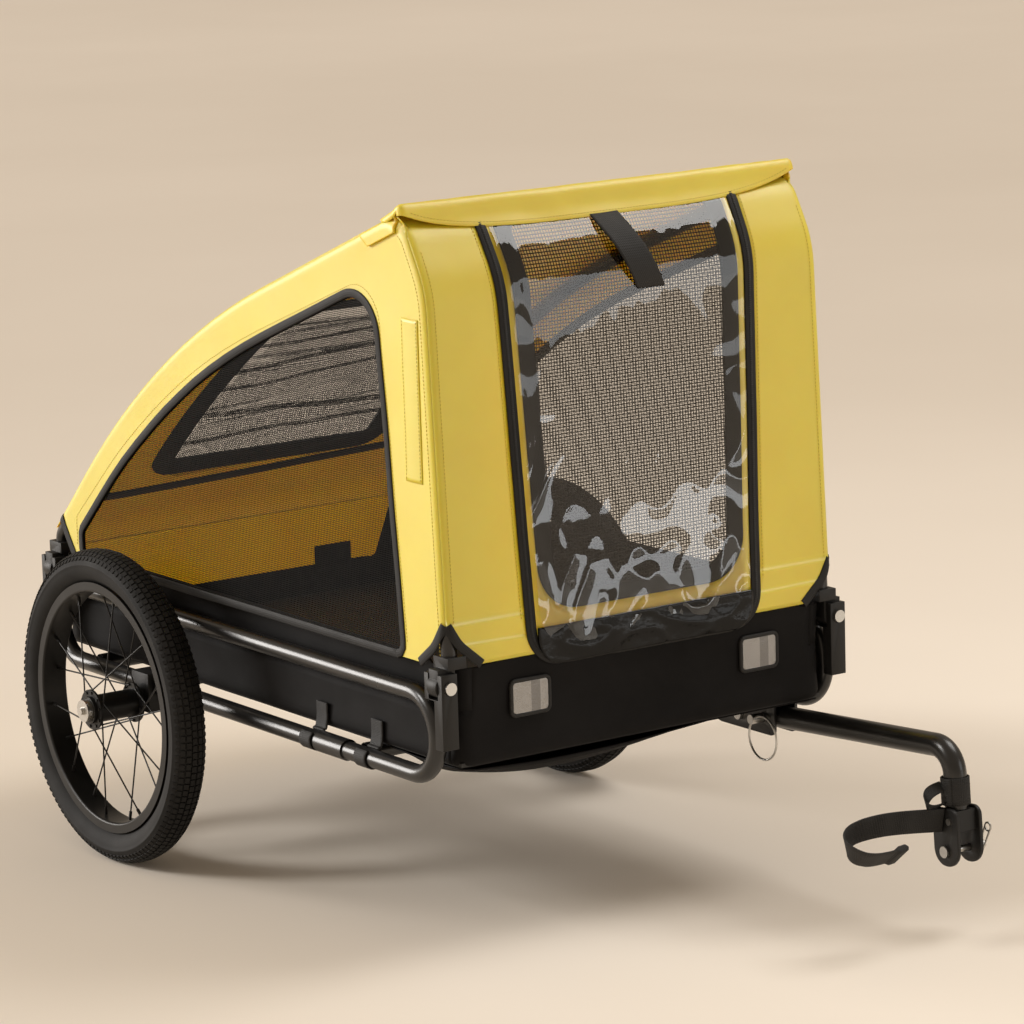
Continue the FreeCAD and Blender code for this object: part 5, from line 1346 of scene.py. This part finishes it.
real = add_node(row_tree, "GeometryNodeRealizeInstances", Geometry=copies.outputs[0])
painted = add_node(row_tree, "GeometryNodeSetMaterial", Geometry=real.outputs[0],
                   Material=row_in.outputs["Finish"])
row_tree.links.new(painted.outputs[0], row_out.inputs[0])


def small_row(name, points, outwards, spacing, size, finish, round_shape=True, closed=False):
    """A row of small things along points in the room, as a plain mesh."""
    count = len(points)
    edges = [(i, (i + 1) % count) for i in range(count if closed else count - 1)]
    mesh = bpy.data.meshes.new(name)
    mesh.from_pydata([tuple(p) for p in points], edges, [])
    ways = mesh.attributes.new("outward", "FLOAT_VECTOR", "POINT")
    ways.data.foreach_set("vector", np.array([tuple(o) for o in outwards], np.float32).ravel())
    piece = bpy.data.objects.new(name, mesh)
    scene.collection.objects.link(piece)
    row = piece.modifiers.new("row", "NODES")
    row.node_group = row_tree
    row[ROW_INPUTS["Spacing"]] = spacing / 1000
    row[ROW_INPUTS["Size"]] = [v / 1000 for v in size]
    row[ROW_INPUTS["Round"]] = round_shape
    row[ROW_INPUTS["Finish"]] = finish
    settle(piece)
    piece.data.polygons.foreach_set("use_smooth", [round_shape] * len(piece.data.polygons))
    return piece


def cloth_row(name, line, place, spacing, size, finish, lift):
    """A row laid along a flat line on the cloth; outward is found by lifting the line a little."""
    points = [place(u, v, lift) for u, v in line]
    outwards = [place(u, v, lift + 4) - p for (u, v), p in zip(line, points)]
    return small_row(name, points, outwards, spacing, size, finish)


print("row inputs", list(ROW_INPUTS))

# %% [markdown]
# ## Tyres
# The casing is one section turned about the axle: bead, smooth wall with a raised ring, and crown. The tread
# of small blocks is seven rows of the tree above, set on the crown round the tyre, so the grooves are real.

# %% Tyres
WHEEL_X, WHEEL_Z = 344.0, 200.0
TYRE_SECTION = [
    (10.2, 158.2), (13.2, 160.6), (17.6, 165.4), (20.6, 171.2), (22.2, 177.4), (22.5, 181.0), (22.8, 181.6),
    (22.8, 183.0), (22.2, 183.6), (20.6, 188.4), (17.4, 192.8), (12.6, 195.6), (6.4, 197.3), (0.0, 197.8),
]
TYRE_INSIDE = [(11.0, 192.4), (18.5, 182.0), (18.0, 172.0), (8.5, 158.6)]
BLOCK_SPACING, BLOCK_LEAN = 9.2, 24
BLOCK_ROWS = [(0.0, 198.3, (7.4, 6.2, 3.0))]
for across, radius, size in ((7.6, 197.4, (7.2, 6.0, 3.2)), (14.4, 194.6, (7.0, 5.6, 3.4)),
                             (19.4, 189.9, (4.4, 5.2, 2.2))):
    BLOCK_ROWS += [(across, radius, size), (-across, radius, size)]


def turned_about_axle(name, section, middle_x, finish, steps=144):
    """A closed section turned about the axle."""
    points = []
    for i in range(steps):
        turn = 2 * pi * i / steps
        for across, radius in section:
            points.append(spot(middle_x + across, radius * cos(turn), WHEEL_Z + radius * sin(turn)))
    faces = grid_faces(steps, len(section), closed=True, tube=True)
    return faced_out(make_piece(name, points, faces, finish))


casing_section = TYRE_SECTION + [(-a, r) for a, r in TYRE_SECTION[-2::-1]]
casing_section += [(-a, r) for a, r in TYRE_INSIDE[::-1]] + TYRE_INSIDE
for side, sign in (("left", 1), ("right", -1)):
    middle_x = sign * WHEEL_X
    casing = turned_about_axle(f"{side}_tyre_casing", casing_section, middle_x, rubber)
    blocks = []
    for index, (across, radius, size) in enumerate(BLOCK_ROWS):
        shift = 0.5 * (index % 2) * BLOCK_SPACING / radius
        ring = [shift + 2 * pi * k / 240 for k in range(240)]
        points = [spot(middle_x + across, radius * cos(t), WHEEL_Z + radius * sin(t)) for t in ring]
        tilt = across / BLOCK_LEAN
        outwards = [(sin(tilt), cos(tilt) * cos(t), cos(tilt) * sin(t)) for t in ring]
        row = small_row(f"blocks_{index}", points, outwards, BLOCK_SPACING, size, rubber, False, True)
        blocks.append(row)
    tyre = joined(f"{side}_tyre_rubber", [casing, *blocks])
    dress(tyre, f"{side}_wheel", "tyre", f"{side}_tyre")
    print(side, "tyre faces", len(tyre.data.polygons))

# %% [markdown]
# ## Softened mouldings
# The exact brackets have knife-sharp edges, and real mouldings and pressings never do. A copy of the node is
# merged into one skin, its flat triangles are joined, and a Bevel rounds the edges a little.

# %% Softened mouldings
def softened(node, name, width, finish, body, slot_name):
    """A node's mesh with rounded edges, as the piece that stands for it."""
    mesh = nodes[node].data.copy()
    shell = bmesh.new()
    shell.from_mesh(mesh)
    bmesh.ops.remove_doubles(shell, verts=shell.verts, dist=1e-6)
    bmesh.ops.dissolve_limit(shell, angle_limit=radians(1), verts=shell.verts, edges=shell.edges)
    shell.to_mesh(mesh)
    shell.free()
    mesh.name = name
    mesh.materials.clear()
    mesh.materials.append(finish)
    piece = bpy.data.objects.new(name, mesh)
    scene.collection.objects.link(piece)
    edge = piece.modifiers.new("edges", "BEVEL")
    edge.width = width / 1000
    edge.segments = 2
    edge.limit_method = "ANGLE"
    edge.angle_limit = radians(35)
    edge.harden_normals = False
    settle(piece)
    piece.data.polygons.foreach_set("use_smooth", [True] * len(piece.data.polygons))
    piece.data.set_sharp_from_angle(angle=radians(40))
    return dress(piece, body, slot_name, node)


MOULDINGS = [
    ("hinge_bases", "hinge_clevises", 1.6, plastic, "chassis", "bracket_black"),
    ("left_knuckles", "left_hinge_knuckles", 1.6, plastic, "left_side", "bracket_black"),
    ("right_knuckles", "right_hinge_knuckles", 1.6, plastic, "right_side", "bracket_black"),
    ("axle_receivers", "axle_clamps", 1.6, plastic, "chassis", "bracket_black"),
    ("tow_receiver", "tow_channel", 0.9, powder_coat, "chassis", "frame_black"),
    ("coupler_plates", "coupler_cheeks", 1.2, plastic, "tow_bar", "bracket_black"),
]
for row in MOULDINGS:
    piece = softened(*row)
    print(piece.name, len(piece.data.polygons))

# %% [markdown]
# ## Tub
# The tub is black coated cloth sewn into a box that hangs between the rails. Its walls wrap round a rounded
# rectangle, bulge softly between the rails and curl in at the foot. The upper strips of both long walls are
# pieces of their own, because they bend inward when the sides fold. In front of the first cross tube the
# floor hangs down in a belly, and that belly is what shows under the front edge.

# %% Tub walls
TUB_HALF, TUB_FRONT, TUB_REAR = 269.0, -668.5, 246.2
TUB_RIM, TUB_LOW, REAR_RIM = 351.0, 231.0, 277.0
TUB_ROUND, RIM_RISE = 20, 7.0
TUB_STEPS, TUB_STEP = 360, 6.8
TUB_CLOTH, TUB_CORNER = 1.8, 24
LONG_WALL_MIDDLE, LONG_WALL_HALF = -211, 400
FOLD_LINE = 300.0
around_tub = evenly(rounded_box(TUB_HALF, TUB_FRONT, TUB_REAR, TUB_ROUND), TUB_STEPS, True)
tub_out = np.roll(around_tub, -1, 0) - np.roll(around_tub, 1, 0)
tub_out = np.stack([tub_out[:, 1], -tub_out[:, 0]], 1)
tub_out /= np.linalg.norm(tub_out, axis=1)[:, None]
tub_heights = [231, 232.5, 236, 242, 250, 260, 272, 286, 300, 314, 326, 336, 344, 349, 351]


def tub_point(index, z):
    """A place on the wall: out by its bulge, in at its foot, with the rim raised, or lowered at the rear."""
    u, v = around_tub[index % TUB_STEPS]
    out = tub_out[index % TUB_STEPS]
    share = (z - TUB_LOW) / (TUB_RIM - TUB_LOW)
    soft = sin(pi * clamped(share))
    run = index * TUB_STEP
    bulge = soft * (-2.4 + 1.7 * ripple(run, z, 120, 71) + 0.8 * ripple(run, z * 2, 45, 73))
    roll = -9 * (1 - min(1.0, (z - TUB_LOW) / 9)) ** 2
    along_wall = clamped((TUB_HALF - 30 - abs(u)) / 40)
    if abs(v - LONG_WALL_MIDDLE) < LONG_WALL_HALF:
        along_wall = 1.0
    rim_rise = RIM_RISE * along_wall * max(0.0, (share - 0.9) / 0.1)
    if v > TUB_REAR - 3:
        low_rear = clamped((TUB_HALF - TUB_CORNER - abs(u)) / 30)
        rim_rise -= low_rear * share * (TUB_RIM + RIM_RISE - REAR_RIM)
    return spot(u + out[0] * (bulge + roll), v + out[1] * (bulge + roll), z + rim_rise)


tub_points = [tub_point(i, z) for i in range(TUB_STEPS + 1) for z in tub_heights]
tub_flat = [(i * TUB_STEP, z) for i in range(TUB_STEPS + 1) for z in tub_heights]
tub_faces = []
upper_faces = {"left": [], "right": []}
rows_up = len(tub_heights)
for i in range(TUB_STEPS):
    on_side = min(abs(around_tub[i][0]), abs(around_tub[(i + 1) % TUB_STEPS][0])) > TUB_HALF - TUB_CORNER
    for j in range(rows_up - 1):
        corner = i * rows_up + j
        cell = (corner, corner + rows_up, corner + rows_up + 1, corner + 1)
        if on_side and tub_heights[j] >= FOLD_LINE:
            upper_faces["left" if around_tub[i][0] > 0 else "right"].append(cell)
        else:
            tub_faces.append(cell)
TUB_MIDDLE = spot(0, (TUB_FRONT + TUB_REAR) / 2, 300)


def tub_piece(name, cells):
    """Some of the wall's cells as a sheet that faces out of the tub."""
    piece = make_piece(name, tub_points, cells, tub_cloth, tub_flat)
    shell = bmesh.new()
    shell.from_mesh(piece.data)
    bmesh.ops.delete(shell, geom=[v for v in shell.verts if not v.link_faces], context="VERTS")
    bmesh.ops.remove_doubles(shell, verts=shell.verts, dist=1e-6)
    bmesh.ops.recalc_face_normals(shell, faces=shell.faces)
    shell.to_mesh(piece.data)
    shell.free()
    first = piece.data.polygons[0]
    if first.normal.dot(first.center - TUB_MIDDLE) < 0:
        piece.data.flip_normals()
    return thicken(piece, TUB_CLOTH)


tub_walls = tub_piece("tub_walls", tub_faces)
dress(tub_walls, "chassis", "tub_black", "tub")
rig.sheet(tub_walls, (0.092, 2.35), "stretched", ["left_rail_loop", "right_rail_loop"])
for side, cells in upper_faces.items():
    upper = tub_piece(f"tub_{side}_upper", cells)
    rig.blend(upper, "chassis", f"{side}_side", (0, 0, FOLD_LINE / 1000), (0, 0, TUB_RIM / 1000))
    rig.slot(upper, "tub_black")
    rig.sheet(upper, (0.058, 0.945), "stretched", [tub_walls.name])
print("tub wall faces", len(tub_walls.data.polygons))

# %% Tub floor
BELLY_END, BELLY_DEEP, BELLY_X, BELLY_HALF = -492, 33, -95, 190


def tub_floor_place(x, y, lift=0.0):
    """The floor sags in front of the first cross tube, most to the right of the middle."""
    belly = 0.0
    if y < BELLY_END:
        share = (y - TUB_FRONT) / (BELLY_END - TUB_FRONT)
        belly = sin(pi * share) ** 0.7 * (BELLY_DEEP * max(0.0, 1 - ((x - BELLY_X) / BELLY_HALF) ** 2) + 3)
    edge = min(1.0, (TUB_HALF - abs(x)) / 25)
    return spot(x, y, 230.6 - belly * edge + 0.7 * ripple(x, y, 90, 79) * edge - lift)


floor_y = np.linspace(TUB_FRONT + 8, TUB_REAR - 8, 93)
near, far = (upright(sign * (TUB_HALF - 8), floor_y) for sign in (-1, 1))
tub_floor = strip_sheet("tub_floor", near, far, tub_floor_place, tub_cloth, (0, 0, -1), 61)
dress(thicken(tub_floor, TUB_CLOTH), "chassis", "tub_black")
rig.sheet(tub_floor, (0.53, 0.9), "stretched", [tub_walls.name])
print("tub floor faces", len(tub_floor.data.polygons))

# %% [markdown]
# ## Rear lining
# At the rear the tub's wall is low, and the yellow cover goes on down to it. It is a hanging strip; shallow
# waves keep it from looking like a board, and light comes through it. A black tab stands up from the rim.

# %% Rear lining
LINING_TOP, LINING_FOOT, LINING_HALF = 357.0, 270.0, 244
TAB_TOP, TAB_FOOT = 302.0, 266.0


def lining_place(x, z, lift=0.0):
    wave = 1.3 * ripple(x, z * 0.4, 70, 91)
    return spot(x, TUB_REAR + 2.2 + wave + lift, z)


lining_cloth = woven_cloth("lining_cloth", (0.76, 0.540, 0.010), (0.80, 0.575, 0.016), 0.6,
                           Specular_IOR_Level=0.2, Subsurface_Weight=0.5, **GLOW)
lining_x = np.linspace(-LINING_HALF, LINING_HALF, 110)
lining = strip_sheet("rear_lining", level(lining_x, LINING_FOOT), level(lining_x, LINING_TOP), lining_place,
                     lining_cloth, (0, 1, 0), 12)
dress(thicken(lining, 1.0), "chassis", "cover_yellow")
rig.sheet(lining, (0.087, 0.488), "hung", ["roof_cloth"])
tab_x = np.linspace(118, 176, 12)
rear_tab = strip_sheet("tub_rear_tab", level(tab_x, TAB_FOOT), level(tab_x, TAB_TOP), lining_place, tub_cloth,
                       FORWARD, 5, -5.0)
dress(thicken(rear_tab, 1.4), "chassis", "tub_black")
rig.sheet(rear_tab, (0.036, 0.058), "stretched", [tub_walls.name])
print("lining faces", len(lining.data.polygons))

# %% [markdown]
# ## Reflective patches
# Each patch is a thin rounded plate of reflective film under clear plastic: a honeycomb of tiny cells, with a
# darker band beside its middle and a dark sewn edge. The cells and the band are in the finish.

# %% Reflective patches
reflective, tree, shader = new_finish("reflective_film", Metallic=0.55, Roughness=0.32, Coat_Weight=0.7,
                                      Coat_Roughness=0.06)
place = place_in(tree, "UV")
split = add_node(tree, "ShaderNodeSeparateXYZ", Vector=place)
cells = add_node(tree, "ShaderNodeTexVoronoi", {"feature": "DISTANCE_TO_EDGE"}, Vector=place, Scale=520.0)
off_band = arithmetic(tree, "ABSOLUTE", arithmetic(tree, "SUBTRACT", split.outputs[0], 0.007))
band = arithmetic(tree, "LESS_THAN", off_band, 0.0065)
tone = add_node(tree, "ShaderNodeMix", {"data_type": "RGBA"}, i0=band, i6=(0.33, 0.32, 0.31, 1),
                i7=(0.19, 0.185, 0.18, 1))
tree.links.new(tone.outputs[2], shader.inputs["Base Color"])
bumps(tree, shader, cells.outputs["Distance"], 0.0008, 0.9)

PATCH_X, PATCH_Z = 168.0, 305.0
PATCH_HALF, PATCH_HIGH, PATCH_ROUND = 27, 20.5, 6
outline = rounded_box(PATCH_HALF, -PATCH_HIGH, PATCH_HIGH, PATCH_ROUND)
patches, edgings = [], []
for sign in (-1, 1):
    def patch_place(u, v, lift=0.0, middle=sign * PATCH_X):
        bow = 1.4 * (1 - ((u / 30) ** 2 + (v / 23) ** 2) / 2)
        return spot(middle + u, TUB_FRONT + 0.8 - lift - bow * 0.6, PATCH_Z + v)

    patch = filled_sheet(f"patch_{sign}", outline, (0, 0), patch_place, reflective, FORWARD, 8,
                         lambda u, v: 1.8)
    patches.append(thicken(patch, 1.4))
    edge = evenly(outline, 80, True)
    edgings.append(tape(f"patch_edge_{sign}", edge, 4.6, 2.6, patch_place, webbing, FORWARD, True))
reflectors = dress(joined("reflective_patches", patches), "chassis", "reflective", "reflectors")
dress(joined("patch_edging", edgings), "chassis", "webbing_black")
print("patches", len(reflectors.data.polygons))

# %% [markdown]
# ## Webbing loops on the rails
# Four short webbing loops tie the tub to the lower rails. Each is one strip: round the tube, and then up
# against the tub's wall where it is sewn.

# %% Webbing loops
RAIL_X, RAIL_Z, LOOP_ROUND = 285, 219, 12.4
LOOP_MIDDLES = (-378, -498)
LOOP_TAIL = [(270.6, 262), (270.6, 246), (271.4, 238), (273.2, 231)]
loop_turns = [radians(125 + 290 * k / 24) for k in range(25)]
loop_round = [(RAIL_X + LOOP_ROUND * cos(t), RAIL_Z + LOOP_ROUND * sin(t)) for t in loop_turns]
loop_path = evenly(LOOP_TAIL + loop_round, 60)
loop_across = np.linspace(0, 24, 7)
loop_flat = [(i * 2.2, across) for i in range(len(loop_path)) for across in loop_across]
loop_faces = grid_faces(len(loop_path), len(loop_across))
loops = []
for sign in (-1, 1):
    for middle_y in LOOP_MIDDLES:
        points = [spot(sign * x, middle_y - 12 + across, z) for x, z in loop_path for across in loop_across]
        loop = make_piece(f"loop_{sign}_{middle_y}", points, loop_faces, webbing, loop_flat)
        loops.append(thicken(loop, 1.8, 0.0))
rail_loops = dress(joined("rail_webbing_loops", loops), "chassis", "webbing_black", "rail_tabs")
print("webbing loops", len(rail_loops.data.polygons))

# %% [markdown]
# ## Safety strap
# The strap is flat ribbed webbing. Its line is a NURBS spline led by the route's own points; a bare curve
# turned into a mesh gives the points it passes. A section is swept along them: the ribs are real, the strap
# twists a little as it comes back, and its end is folded into a thick sewn stub. A wrap of the same webbing
# goes round the bar's leg.

# %% Safety strap
TOW_PIVOT, TOW_LIFT, TOW_REACH = spot(250, -545, 196), radians(-3.9), -0.387
TOW_PLACE = Matrix.Translation(TOW_PIVOT) @ Matrix.Rotation(TOW_LIFT, 4, "X")
STRAP_PLACE = TOW_PLACE @ Matrix.Translation((0, TOW_REACH, -0.084)) @ Matrix.Rotation(radians(16), 4, "X")
STRAP_ROUTE = [(-20.4, 2, 0), (-58, 14, 0), (-102, 22, 0), (-144, 22, -3), (-167, 3, -9), (-156, -16, -17),
               (-128, -20, -21), (-92, -13, -22)]
STRAP_HALF, STUB_LONG = 15.0, 20
RIB_PITCH, RIB_STEP = 2.4, 0.6


def spline_points(route, spacing):
    """Evenly spaced points along a NURBS spline, in millimetres."""
    curve = bpy.data.curves.new("guide", "CURVE")
    curve.dimensions = "3D"
    curve.resolution_u = 24
    spline = curve.splines.new("NURBS")
    spline.points.add(len(route) - 1)
    for point, place in zip(spline.points, route):
        point.co = (*place, 1)
    spline.order_u = 3
    spline.use_endpoint_u = True
    guide = bpy.data.objects.new("guide", curve)
    mesh = bpy.data.meshes.new_from_object(guide)
    line = np.array([tuple(v.co) for v in mesh.vertices])
    bpy.data.objects.remove(guide)
    return evenly(line, int(run_of(line)[-1] / spacing) + 1)


def ribbed_strap(name, line, half, turned, thick, finish, space):
    """Webbing swept along a line: turned gives its twist and thick its half thickness at a run."""
    run = run_of(line)
    ahead = np.gradient(line, axis=0)
    points, flat = [], []
    across = [-1, -0.97, -0.5, 0, 0.5, 0.97, 1]
    section = [(a, 1) for a in across] + [(a, -1) for a in reversed(across)]
    for place, way, s in zip(line, ahead, run):
        way = Vector(way).normalized()
        wide = Matrix.Rotation(turned(s / run[-1]), 3, way) @ Vector((0, 0, 1))
        high = way.cross(wide)
        end = sqrt(max(0.05, min(1.0, (run[-1] - s) / 3)))
        for a, up in section:
            height = up * thick(s, run[-1]) * (0.55 if abs(a) == 1 else 1.0) * end
            points.append(space @ ((Vector(place) + wide * (a * half) + high * height) / 1000))
            flat.append((s, a * half))
    count = len(section)
    last = len(points) - count
    faces = grid_faces(len(line), count, tube=True)
    faces += [tuple(range(count))[::-1], tuple(range(last, last + count))]
    return faced_out(make_piece(name, points, faces, finish, flat))


def ribs(s):
    """A wave along the webbing."""
    return sin(2 * pi * s / RIB_PITCH)


def strap_thick(s, length):
    return 1.05 + 0.22 * ribs(s) + 3.2 * eased(clamped((s - length + STUB_LONG) / 6))


def strap_turn(share):
    return radians(36) * clamped((share - 0.5) / 0.25)


strap_line = spline_points(STRAP_ROUTE, RIB_STEP)
strap = ribbed_strap("safety_webbing", strap_line, STRAP_HALF, strap_turn, strap_thick, webbing, STRAP_PLACE)
dress(strap, "tow_bar", "webbing_black", "safety_strap")
strap_path = [STRAP_PLACE @ (Vector(p) / 1000) for p in strap_line]
strap_length = sum((b - a).length for a, b in zip(strap_path, strap_path[1:]))
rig.cord(strap, strap_path[0], strap_length, 2 * STRAP_HALF / 1000, "bare", "stiff", "loose", path=strap_path)
print("strap length", round(strap_length, 4), "faces", len(strap.data.polygons))

# %% Strap wrap
wrap_turns = np.linspace(radians(200), radians(200 + 372), 260)
wrap_round = np.linspace(15.4, 17.1, 260)
wrap_line = np.stack([np.cos(wrap_turns) * wrap_round, np.sin(wrap_turns) * wrap_round, np.zeros(260)], 1)
wrap_space = TOW_PLACE @ Matrix.Translation((0, TOW_REACH, -0.0505))
loop_route = [(-14, 7, 6), (-30, 9, 4), (-42, 8, -7), (-40, 6, -16), (-27, 5, -17), (-15, 6, -15)]


def wrap_thick(s, length):
    return 0.8 + 0.18 * ribs(s)


wrap = ribbed_strap("leg_wrap", wrap_line, 16.4, lambda share: 0.0, wrap_thick, webbing, wrap_space)
side_loop = ribbed_strap("side_loop", spline_points(loop_route, RIB_STEP), 9.0, lambda share: radians(62),
                         wrap_thick, webbing, wrap_space)
wrap = dress(joined("leg_wrap", [wrap, side_loop]), "tow_bar", "webbing_black", "strap_wrap")
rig.sheet(wrap, (0.033, 0.145), "folded", ["tow_bar"])
print("wrap faces", len(wrap.data.polygons))

# %% [markdown]
# ## Stitches and zip teeth
# Thread rows run along the seams: down both front corners, beside the zips and the windows, along the hem and
# along the sleeve's edges. They are the same tree again with a ball stretched into a stitch.

# %% Stitches and teeth
thread = hard_finish("thread", (0.50, 0.36, 0.02), (0.62, 0.46, 0.04), (0.55, 0.70), 900.0, 0.00004)
STITCH, STITCH_SPACING = (3.1, 0.8, 0.7), 4.4
TOOTH, TOOTH_SPACING = (1.5, 4.2, 1.6), 2.2
ZIP_SEAM_LOW, ZIP_SEAM_HIGH, CORNER_SEAM_HIGH, HEM_SEAM_HALF = 395, 850, 830, 270


def sewn(name, body, rows, fold=None):
    """Rows of stitches as one piece: each row is a flat line, its place on the cloth and its lift."""
    pieces = [cloth_row(f"{name}_{k}", line, place, STITCH_SPACING, STITCH, thread, lift)
              for k, (line, place, lift) in enumerate(rows)]
    piece = joined(name, pieces) if len(pieces) > 1 else pieces[0]
    piece.name = name
    dress(piece, body, "cover_yellow")
    if fold:
        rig.squash(piece, FOLD["joint"], FOLD["axis"], fold, FOLD["keep"])
    print(name, len(piece.data.polygons))


seam = evenly(rounded(grown(SIDE_TUBE, COVER_OFF - 13)[:4])[:-12], 160)
round_window = evenly(rounded(window_outline(13), closed=True), 300, True)
round_window = [p for p in round_window if p[1] > SKIRT + 14]
start = max(range(len(round_window)), key=lambda k: np.linalg.norm(round_window[k] - round_window[k - 1]))
window_seam = round_window[start:] + round_window[:start]
for side, sign in (("left", 1), ("right", -1)):
    place = side_place(sign)
    rows = [(seam, place, 0.3), (window_seam, place, 0.3)]
    if side == "right":
        seam_z = np.linspace(sleeve_z[0] + 4, sleeve_z[1] - 4, 40)
        rows += [(upright(y, seam_z), place, 1.6) for y in (sleeve_y[0] + 2.5, sleeve_y[1] - 2.5)]
    sewn(f"{side}_side_stitches", f"{side}_side", rows)
front_rows = []
for sign, zip_line in zip((-1, 1), zip_lines):
    edge = upright(sign * (FRONT_HALF - 9), np.linspace(edge_arch + 4, CORNER_SEAM_HIGH, 80))
    beside_zip = [(u + sign * 12, v) for u, v in zip_line if ZIP_SEAM_LOW < v < ZIP_SEAM_HIGH]
    front_rows += [(edge, front_place, 0.3), (beside_zip, front_place, 0.3)]
sewn("front_stitches", "chassis", front_rows, SKIRT_FOLD)
hem_seam = [(x, -hem_drop(x) + 5) for x in np.linspace(-HEM_SEAM_HALF, HEM_SEAM_HALF, 160)]
sewn("hem_stitches", "cover_top", [(hem_seam, hem_place, 0.2)])
teeth = [cloth_row(f"teeth_{k}", line, front_place, TOOTH_SPACING, TOOTH, zip_finish, 2.5)
         for k, line in enumerate(zip_lines)]
zip_teeth = dress(joined("zip_teeth", teeth), "chassis", "zip_black")
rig.squash(zip_teeth, FOLD["joint"], FOLD["axis"], SKIRT_FOLD, FOLD["keep"])
print("teeth", len(zip_teeth.data.polygons))

# %% Finish
visual_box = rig.bounds()
boxes = {"cad": [list(c) for c in cad_box], "visual": [list(c) for c in visual_box]}
json.dump(boxes, open("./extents.json", "w"))
